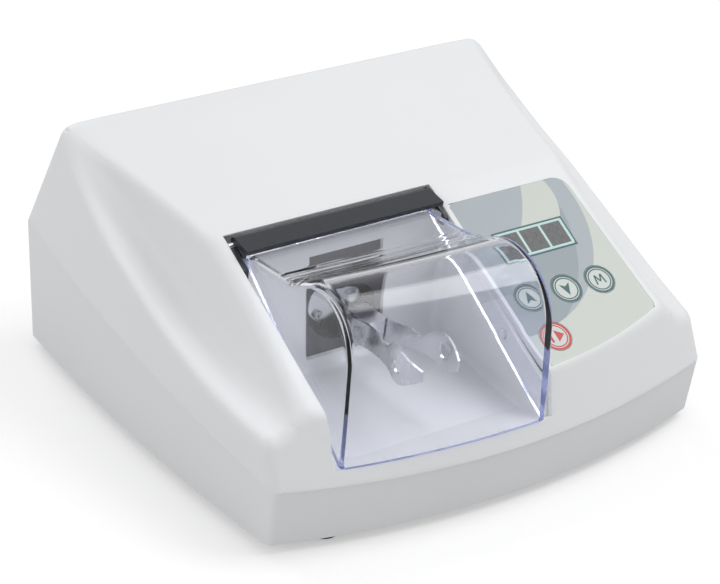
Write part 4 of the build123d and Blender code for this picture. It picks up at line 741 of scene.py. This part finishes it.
lid_outer, lid_inner = lid_grid(0), lid_grid(lid_thickness)
clear_lid = sheet_with_rim("clear_lid", lid_outer, lid_inner)
tongue_y = case_front + tongue_back
tongue = prism("lid_tongue", [(tongue_left, tongue_y, tongue_low), (tongue_right, tongue_y, tongue_low),
                              (tongue_right, tongue_y, tongue_top), (tongue_left, tongue_y, tongue_top)],
               (0, tongue_depth, 0))
print("clear lid:", len(clear_lid.data.polygons), "faces")


clear_index = 1.46          # index of refraction of the clear plastic
clear_plastic = new_finish("clear_plastic", (0.93, 0.945, 1.0), 0.03)
shader_of(clear_plastic).inputs["Transmission Weight"].default_value = 1.0
shader_of(clear_plastic).inputs["IOR"].default_value = clear_index
cloud(clear_plastic, 0.02, 0.045, scale=14.0)


def let_lamps_through(material, share):
    """Clear pieces throw only a faint shadow: for shadow rays the shader is see-through."""
    clear = add_node(material, "ShaderNodeBsdfTransparent")
    clear.inputs["Color"].default_value = (share, share, share, 1)
    path = add_node(material, "ShaderNodeLightPath")
    mix = add_node(material, "ShaderNodeMixShader")
    wire(material, path.outputs["Is Shadow Ray"], mix.inputs[0])
    wire(material, shader_of(material).outputs["BSDF"], mix.inputs[1])
    wire(material, clear.outputs["BSDF"], mix.inputs[2])
    wire(material, mix.outputs["Shader"], material.node_tree.nodes["Material Output"].inputs["Surface"])


let_lamps_through(clear_plastic, 0.97)
wear(clear_lid, clear_plastic)
# Painted shade: the lid's rim faces get a darker blue that stands in for the light reflected inside the sheet
# at its edges.
painted_edge_shade = new_finish("painted_edge_shade", (0.30, 0.38, 0.85), 0.12)
shader_of(painted_edge_shade).inputs["Transmission Weight"].default_value = 0.6
shader_of(painted_edge_shade).inputs["IOR"].default_value = clear_index
cloud(painted_edge_shade, (0.27, 0.35, 0.82), (0.35, 0.43, 0.88), scale=60.0, socket="Base Color")
let_lamps_through(painted_edge_shade, 0.9)
clear_lid.data.materials.append(painted_edge_shade)
rim_count = 2 * (lid_outer.shape[0] + lid_outer.shape[1] - 2)
material_of_face = np.zeros(len(clear_lid.data.polygons), np.int32)
material_of_face[-rim_count:] = 1
clear_lid.data.polygons.foreach_set("material_index", material_of_face)
wear(tongue, clear_plastic)

# %% [markdown]
# The key panel is a printed foil in a shallow recess of the front plane. Its two greys are
# a print, so they are a pattern: the material turns Object coordinates into the panel's
# own x and slope distance, and circles around a few centres decide the tone. The digits
# are the classic seven bars behind a frame, and each key has a double ring and a symbol.

# %% The panel's own coordinates
panel_slope = math.hypot(1, front_fall)
panel_origin = np.array([0.0, case_front + kink_back, kink_z])
panel_down = np.array([0.0, -1.0, -front_fall]) / panel_slope
panel_out = np.array([0.0, -front_fall, 1.0]) / panel_slope


def on_panel(flat, height):
    """Points (x, distance down the slope) on the front plane, at a height over it."""
    flat = np.asarray(flat, float)
    return (panel_origin + flat[:, :1] * np.array([1.0, 0, 0]) + flat[:, 1:] * panel_down
            + height * panel_out)


def panel_cutter(name, flat, depth):
    """Solid from over the front plane down to a depth under it, for cutting."""
    return prism(name, on_panel(flat, 3.0), -panel_out * (3.0 + depth))


def ring_points(x, s, radius, count=48):
    """A circle on the panel, as (x, s)."""
    turn = np.linspace(0, 2 * math.pi, count, endpoint=False)
    return np.stack([x + radius * np.cos(turn), s + radius * np.sin(turn)], axis=1)


def rounded_box(left, right_side, top, low, radius, count=6):
    """A box with round corners on the panel, as (x, s)."""
    turn = np.linspace(0, math.pi / 2, count)
    corners = ((right_side - radius, top + radius, -math.pi / 2), (right_side - radius, low - radius, 0),
               (left + radius, low - radius, math.pi / 2), (left + radius, top + radius, math.pi))
    return np.concatenate([np.stack([x + radius * np.cos(turn + start), s + radius * np.sin(turn + start)], 1)
                           for x, s, start in corners])


key_places = {"key_mode": (75.1, 71.3), "key_down": (55.8, 71.2), "key_up": (35.8, 70.7),
              "key_start": (36.0, 92.6)}
key_radius = 7.6
display = (35.5, 75.9, 34.1, 50.5)

# %% [markdown]
# The recess, the key holes, the display window and the vents in the rear wall are cut out
# of the housing, each with a solid made for the cut.

# %% Cuts in the housing
foil_left, foil_top, foil_low = 23.8, 12.9, 106.6
foil_turn, foil_turn_radius = (82.6, 20.9), 8       # the round corner at the upper right
foil_low_corner = (94.5, 90.5)
foil_arc_start, foil_arc_width, foil_arc_drop, foil_arc_bow = (93.6, 92.9), 69.8, 13.7, 10.6
foil_recess, through_wall, key_gap = 0.6, 6.0, 0.3
vent_count, vent_left, vent_pitch, vent_width = 11, -104.0, 6.0, 2.5
vent_low, vent_high = 70, 94
vent_start, vent_reach = 30, 40     # how far inside the rear a slot's cut begins, and its length

foil_line = [(foil_left, foil_low), (foil_left, foil_top)]
for a in np.linspace(0, math.pi / 2, 8):
    foil_line.append((foil_turn[0] + foil_turn_radius * math.sin(a),
                      foil_turn[1] - foil_turn_radius * math.cos(a)))
foil_line.append(foil_low_corner)
for t in np.linspace(0, 1, 14)[:-1]:
    foil_line.append((foil_arc_start[0] - foil_arc_width * t,
                      foil_arc_start[1] + foil_arc_drop * t + foil_arc_bow * t * (1 - t)))
foil_line = np.array(foil_line)
foil_line[:, 0] = np.maximum(foil_line[:, 0], foil_left)
cut_away(upper_housing, panel_cutter("recess cut", foil_line, foil_recess))
cut_away(upper_housing, panel_cutter("window cut", rounded_box(*display, 0.5), through_wall))
for x, s in key_places.values():
    cut_away(upper_housing, panel_cutter("key cut", ring_points(x, s, key_radius + key_gap), through_wall))
vent_y = case_rear - vent_start
for i in range(vent_count):
    left = vent_left + vent_pitch * i
    slot = [(left, vent_y, vent_low), (left + vent_width, vent_y, vent_low),
            (left + vent_width, vent_y, vent_high), (left, vent_y, vent_high)]
    cut_away(upper_housing, prism("vent cut", slot, (0, vent_reach, 0)))
soften(upper_housing, 30.0)
print("housing after its cuts:", len(upper_housing.data.polygons), "faces")

# %% Two-tone print of the foil
foil_light, foil_mid, foil_dark = (0.56, 0.60, 0.55), (0.36, 0.41, 0.44), (0.27, 0.32, 0.35)


def panel_place(material):
    """Node socket with (x, distance down the slope, 0) in metres on the front plane."""
    place = add_node(material, "ShaderNodeTexCoord")
    parts = add_node(material, "ShaderNodeSeparateXYZ")
    wire(material, place.outputs["Object"], parts.inputs["Vector"])
    shift = add_node(material, "ShaderNodeVectorMath", operation="SUBTRACT")
    shift.inputs[1].default_value = panel_origin * mm
    wire(material, place.outputs["Object"], shift.inputs[0])
    along = add_node(material, "ShaderNodeVectorMath", operation="DOT_PRODUCT")
    along.inputs[1].default_value = panel_down
    wire(material, shift.outputs["Vector"], along.inputs[0])
    flat = add_node(material, "ShaderNodeCombineXYZ")
    wire(material, parts.outputs["X"], flat.inputs["X"])
    wire(material, along.outputs["Value"], flat.inputs["Y"])
    return flat.outputs["Vector"]


def inside_circle(material, place, x, s, radius, soft=0.15):
    """1 inside a circle on the panel and 0 outside, over a narrow soft edge."""
    away = add_node(material, "ShaderNodeVectorMath", operation="DISTANCE")
    away.inputs[1].default_value = (x * mm, s * mm, 0)
    wire(material, place, away.inputs[0])
    edge = add_node(material, "ShaderNodeMapRange")
    edge.inputs["From Min"].default_value = (radius + soft) * mm
    edge.inputs["From Max"].default_value = (radius - soft) * mm
    wire(material, away.outputs["Value"], edge.inputs["Value"])
    return edge.outputs["Result"]


def combine(material, operation, a, b):
    """Math node on two sockets."""
    node = add_node(material, "ShaderNodeMath", operation=operation)
    wire(material, a, node.inputs[0])
    wire(material, b, node.inputs[1])
    return node.outputs["Value"]


def tone(material, factor, before, colour):
    """Mixes a colour over what came before, where the factor is 1."""
    mix = add_node(material, "ShaderNodeMix", data_type="RGBA")
    wire(material, factor, mix.inputs["Factor"])
    if isinstance(before, tuple):
        mix.inputs["A"].default_value = (*before, 1)
    else:
        wire(material, before, mix.inputs["A"])
    mix.inputs["B"].default_value = (*colour, 1)
    return mix.outputs["Result"]


foil_print = new_finish("foil_print", foil_light, 0.34)
place = panel_place(foil_print)
big = inside_circle(foil_print, place, 26.6, 25.5, 62.8)
light = inside_circle(foil_print, place, 55.3, 20.2, 24.8)
small = inside_circle(foil_print, place, 6.8, 24.6, 72.4)
left_part = inside_circle(foil_print, place, -12.3, -19.9, 84.7)
colour = tone(foil_print, big, foil_light, foil_mid)
colour = tone(foil_print, combine(foil_print, "MULTIPLY", big, small), colour, foil_dark)
colour = tone(foil_print, light, colour, foil_light)
colour = tone(foil_print, left_part, colour, foil_mid)
wire(foil_print, colour, shader_of(foil_print).inputs["Base Color"])
cloud(foil_print, 0.3, 0.4, scale=120.0)
grain(foil_print, scale=2200.0, depth=0.000006, strength=0.15)
wear(nodes["panel_overlay"], foil_print)

# %% Frame and cells of the display
lens_black = new_finish("lens_black", (0.006, 0.010, 0.010), 0.12)
cloud(lens_black, 0.08, 0.18, scale=200.0)
frame_print = new_finish("frame_print", (0.50, 0.68, 0.68), 0.35)
cloud(frame_print, 0.3, 0.42, scale=300.0)
outline_print = new_finish("outline_print", (0.006, 0.085, 0.095), 0.35)
cloud(outline_print, 0.3, 0.42, scale=300.0)
digit_bar = new_finish("digit_bar", (0.20, 0.19, 0.20), 0.4)
cloud(digit_bar, 0.3, 0.5, scale=400.0)
red_print = new_finish("red_print", (0.55, 0.015, 0.02), 0.35)
cloud(red_print, 0.3, 0.42, scale=300.0)
key_face = new_finish("key_face", (0.58, 0.63, 0.60), 0.36)
cloud(key_face, 0.3, 0.42, scale=200.0)
grain(key_face, scale=2200.0, depth=0.000006, strength=0.15)
wear(nodes["display_lens"], lens_black)
ink = 0.04                  # thickness of a printed layer


def flat_print(name, loops, height, material, body="case"):
    """Thin closed plates on the front plane, one for each loop of (x, s) points."""
    points, faces = [], []
    for loop in loops:
        start, count = len(points), len(loop)
        low, top = on_panel(loop, height - ink), on_panel(loop, height)
        points.extend(np.concatenate([low, top]).tolist())
        faces.append([start + i for i in range(count)])
        faces.append([start + count + i for i in range(count)][::-1])
        faces.extend([start + i, start + count + i, start + count + (i + 1) % count, start + (i + 1) % count]
                     for i in range(count))
    mesh = bpy.data.meshes.new(name)
    mesh.from_pydata((np.array(points) * mm).tolist(), [], faces)
    thing = bpy.data.objects.new(name, mesh)
    bpy.context.scene.collection.objects.link(thing)
    point_outwards(thing)
    wear(thing, material)
    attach(thing, body)
    return thing


def point_outwards(thing):
    """Recalculates the normals of closed forms so that they face outwards."""
    form = bmesh.new()
    form.from_mesh(thing.data)
    bmesh.ops.recalc_face_normals(form, faces=form.faces)
    form.to_mesh(thing.data)
    form.free()


def band(outer_loop, inner_loop):
    """Closed strip between two loops of equal length, as quads of four points each."""
    count = len(outer_loop)
    return [np.array([outer_loop[i], outer_loop[(i + 1) % count], inner_loop[(i + 1) % count], inner_loop[i]])
            for i in range(count)]


left, right_side, top, low = display
lens_height = -0.08
rim, frame_side, frame_top = 0.8, 2.3, 2.0  # from the display's edge inwards: outline, frame's side and top
cell_pitch, cell_gap = 12.35, 1.35
flat_print("display_outline",
           band(rounded_box(left, right_side, top, low, 1.6),
                rounded_box(left + rim, right_side - rim, top + rim, low - rim, 1.2)),
           lens_height + 0.05, outline_print)
cell_left = [left + frame_side + i * cell_pitch for i in range(3)]
bars = [(left + rim, left + frame_side, top + rim, low - rim),
        (right_side - frame_side, right_side - rim, top + rim, low - rim),
        (left + frame_side, right_side - frame_side, top + rim, top + frame_top),
        (left + frame_side, right_side - frame_side, low - frame_top, low - rim)]
bars += [(x - cell_gap, x, top + frame_top, low - frame_top) for x in cell_left[1:]]
flat_print("display_frame", [np.array([(a, c), (b, c), (b, d), (a, d)]) for a, b, c, d in bars],
           lens_height + 0.05, frame_print)


def segment(start, end, width):
    """A bar with pointed ends between two points."""
    start, end = np.asarray(start, float), np.asarray(end, float)
    way = (end - start) / np.linalg.norm(end - start)
    side = np.array([-way[1], way[0]]) * width / 2
    tip = way * width / 2
    return np.array([start, start + tip + side, end - tip + side, end, end - tip - side, start + tip - side])


digit_left, digit_right, digit_inset = 2.6, 8.0, 3.6
gap, bar_width = 0.25, 1.15
digits = []
for x in cell_left:
    a, b = x + digit_left, x + digit_right
    high, mid, foot = top + digit_inset, (top + low) / 2, low - digit_inset
    for p, q in (((a, high), (b, high)), ((a, mid), (b, mid)), ((a, foot), (b, foot)), ((a, high), (a, mid)),
                 ((b, high), (b, mid)), ((a, mid), (a, foot)), ((b, mid), (b, foot))):
        way = np.subtract(q, p) / np.linalg.norm(np.subtract(q, p))
        outer_bar = segment(p + way * gap, q - way * gap, bar_width)
        centre = outer_bar.mean(0)
        arms = outer_bar - centre
        inner_bar = centre + arms * 0.9 - arms / np.linalg.norm(arms, axis=1, keepdims=True) * 0.12
        digits.extend(band(outer_bar, inner_bar))
flat_print("digit_bars", digits, lens_height + 0.05, digit_bar)

# %% Rings and symbols of the keys
key_height = -0.06
key_rings = ((7.5, 6.4), (5.9, 5.3))         # outer and inner radius of both printed rings
symbols = {
    "key_mode": [segment((72.6, 74.0), (73.4, 68.6), 0.8), segment((73.4, 68.6), (75.1, 72.6), 0.8),
                 segment((75.1, 72.6), (76.8, 68.6), 0.8), segment((76.8, 68.6), (77.6, 74.0), 0.8)],
    "key_down": [np.array([(53.0, 68.4), (55.8, 70.0), (58.6, 68.4), (55.8, 75.0)])],
    "key_up": [np.array([(33.0, 73.6), (35.8, 72.0), (38.6, 73.6), (35.8, 67.0)])],
    "key_start": [np.array([(36.2, 89.4), (36.2, 95.8), (40.6, 92.6)]),
                  np.array([(32.6, 89.8), (33.8, 89.8), (33.8, 95.4), (32.6, 95.4)])],
}
for name, (x, s) in key_places.items():
    wear(nodes[name], key_face)
    print_colour = red_print if name == "key_start" else outline_print
    loops = list(symbols[name])
    for far, near in reversed(key_rings):
        loops = band(ring_points(x, s, far), ring_points(x, s, near)) + loops
    flat_print(name + "_print", loops, key_height, print_colour, body=name)
print("panel printed")

# %% Pieces ride on their bodies
for piece, body, slot_name, replaced in ((upper_housing, "case", "housing_plastic", ["upper_shell"]),
                                         (clear_lid, "lid", "lid_clear", ["lid"])):
    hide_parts(*replaced)
    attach(piece, body)
wear(upper_housing, housing_white)
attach(tongue, "lid")

# %% [markdown]
# The stage is a pale floor and a white world, with three large soft lamps. The lamps are
# weak enough that the pale case keeps its colour and its faces differ a little.

# %% Floor, backdrop and light
floor_mesh = bpy.data.meshes.new("floor")
reach = 6.0
floor_mesh.from_pydata([(-reach, -reach, 0), (reach, -reach, 0), (reach, reach, 0), (-reach, reach, 0)],
                       [], [(0, 1, 2, 3)])
floor = bpy.data.objects.new("floor", floor_mesh)
bpy.context.scene.collection.objects.link(floor)
floor_finish = new_finish("floor_finish", (0.66, 0.66, 0.66), 0.9)
floor_seen = add_node(floor_finish, "ShaderNodeLightPath")
floor_glow = add_node(floor_finish, "ShaderNodeMath", operation="MULTIPLY")
floor_glow.inputs[1].default_value = 0.38
wire(floor_finish, floor_seen.outputs["Is Camera Ray"], floor_glow.inputs[0])
shader_of(floor_finish).inputs["Emission Color"].default_value = (1, 1, 1, 1)
wire(floor_finish, floor_glow.outputs["Value"], shader_of(floor_finish).inputs["Emission Strength"])
wear(floor, floor_finish)

world = bpy.data.worlds.new("studio")
world.use_nodes = True
bpy.context.scene.world = world
sky = world.node_tree.nodes["Background"]
sky.inputs["Color"].default_value = (1, 1, 1, 1)
sky.inputs["Strength"].default_value = 0.55


def soft_lamp(name, place, aim, size, power):
    """Square area lamp that looks from one point at another."""
    data = bpy.data.lights.new(name, "AREA")
    data.size = size
    data.energy = power
    lamp = bpy.data.objects.new(name, data)
    lamp.location = place
    lamp.rotation_euler = (Vector(aim) - Vector(place)).to_track_quat("-Z", "Y").to_euler()
    bpy.context.scene.collection.objects.link(lamp)
    return lamp


middle = (0.0, 0.0, 0.06)
soft_lamp("key lamp", (0.9, -0.3, 1.4), middle, 1.0, 11.0)
soft_lamp("fill lamp", (-1.5, -0.2, 0.8), middle, 1.2, 5.0)
soft_lamp("rear lamp", (-0.2, 1.3, 1.2), middle, 1.0, 6.0)
bpy.context.scene.view_settings.view_transform = "Standard"
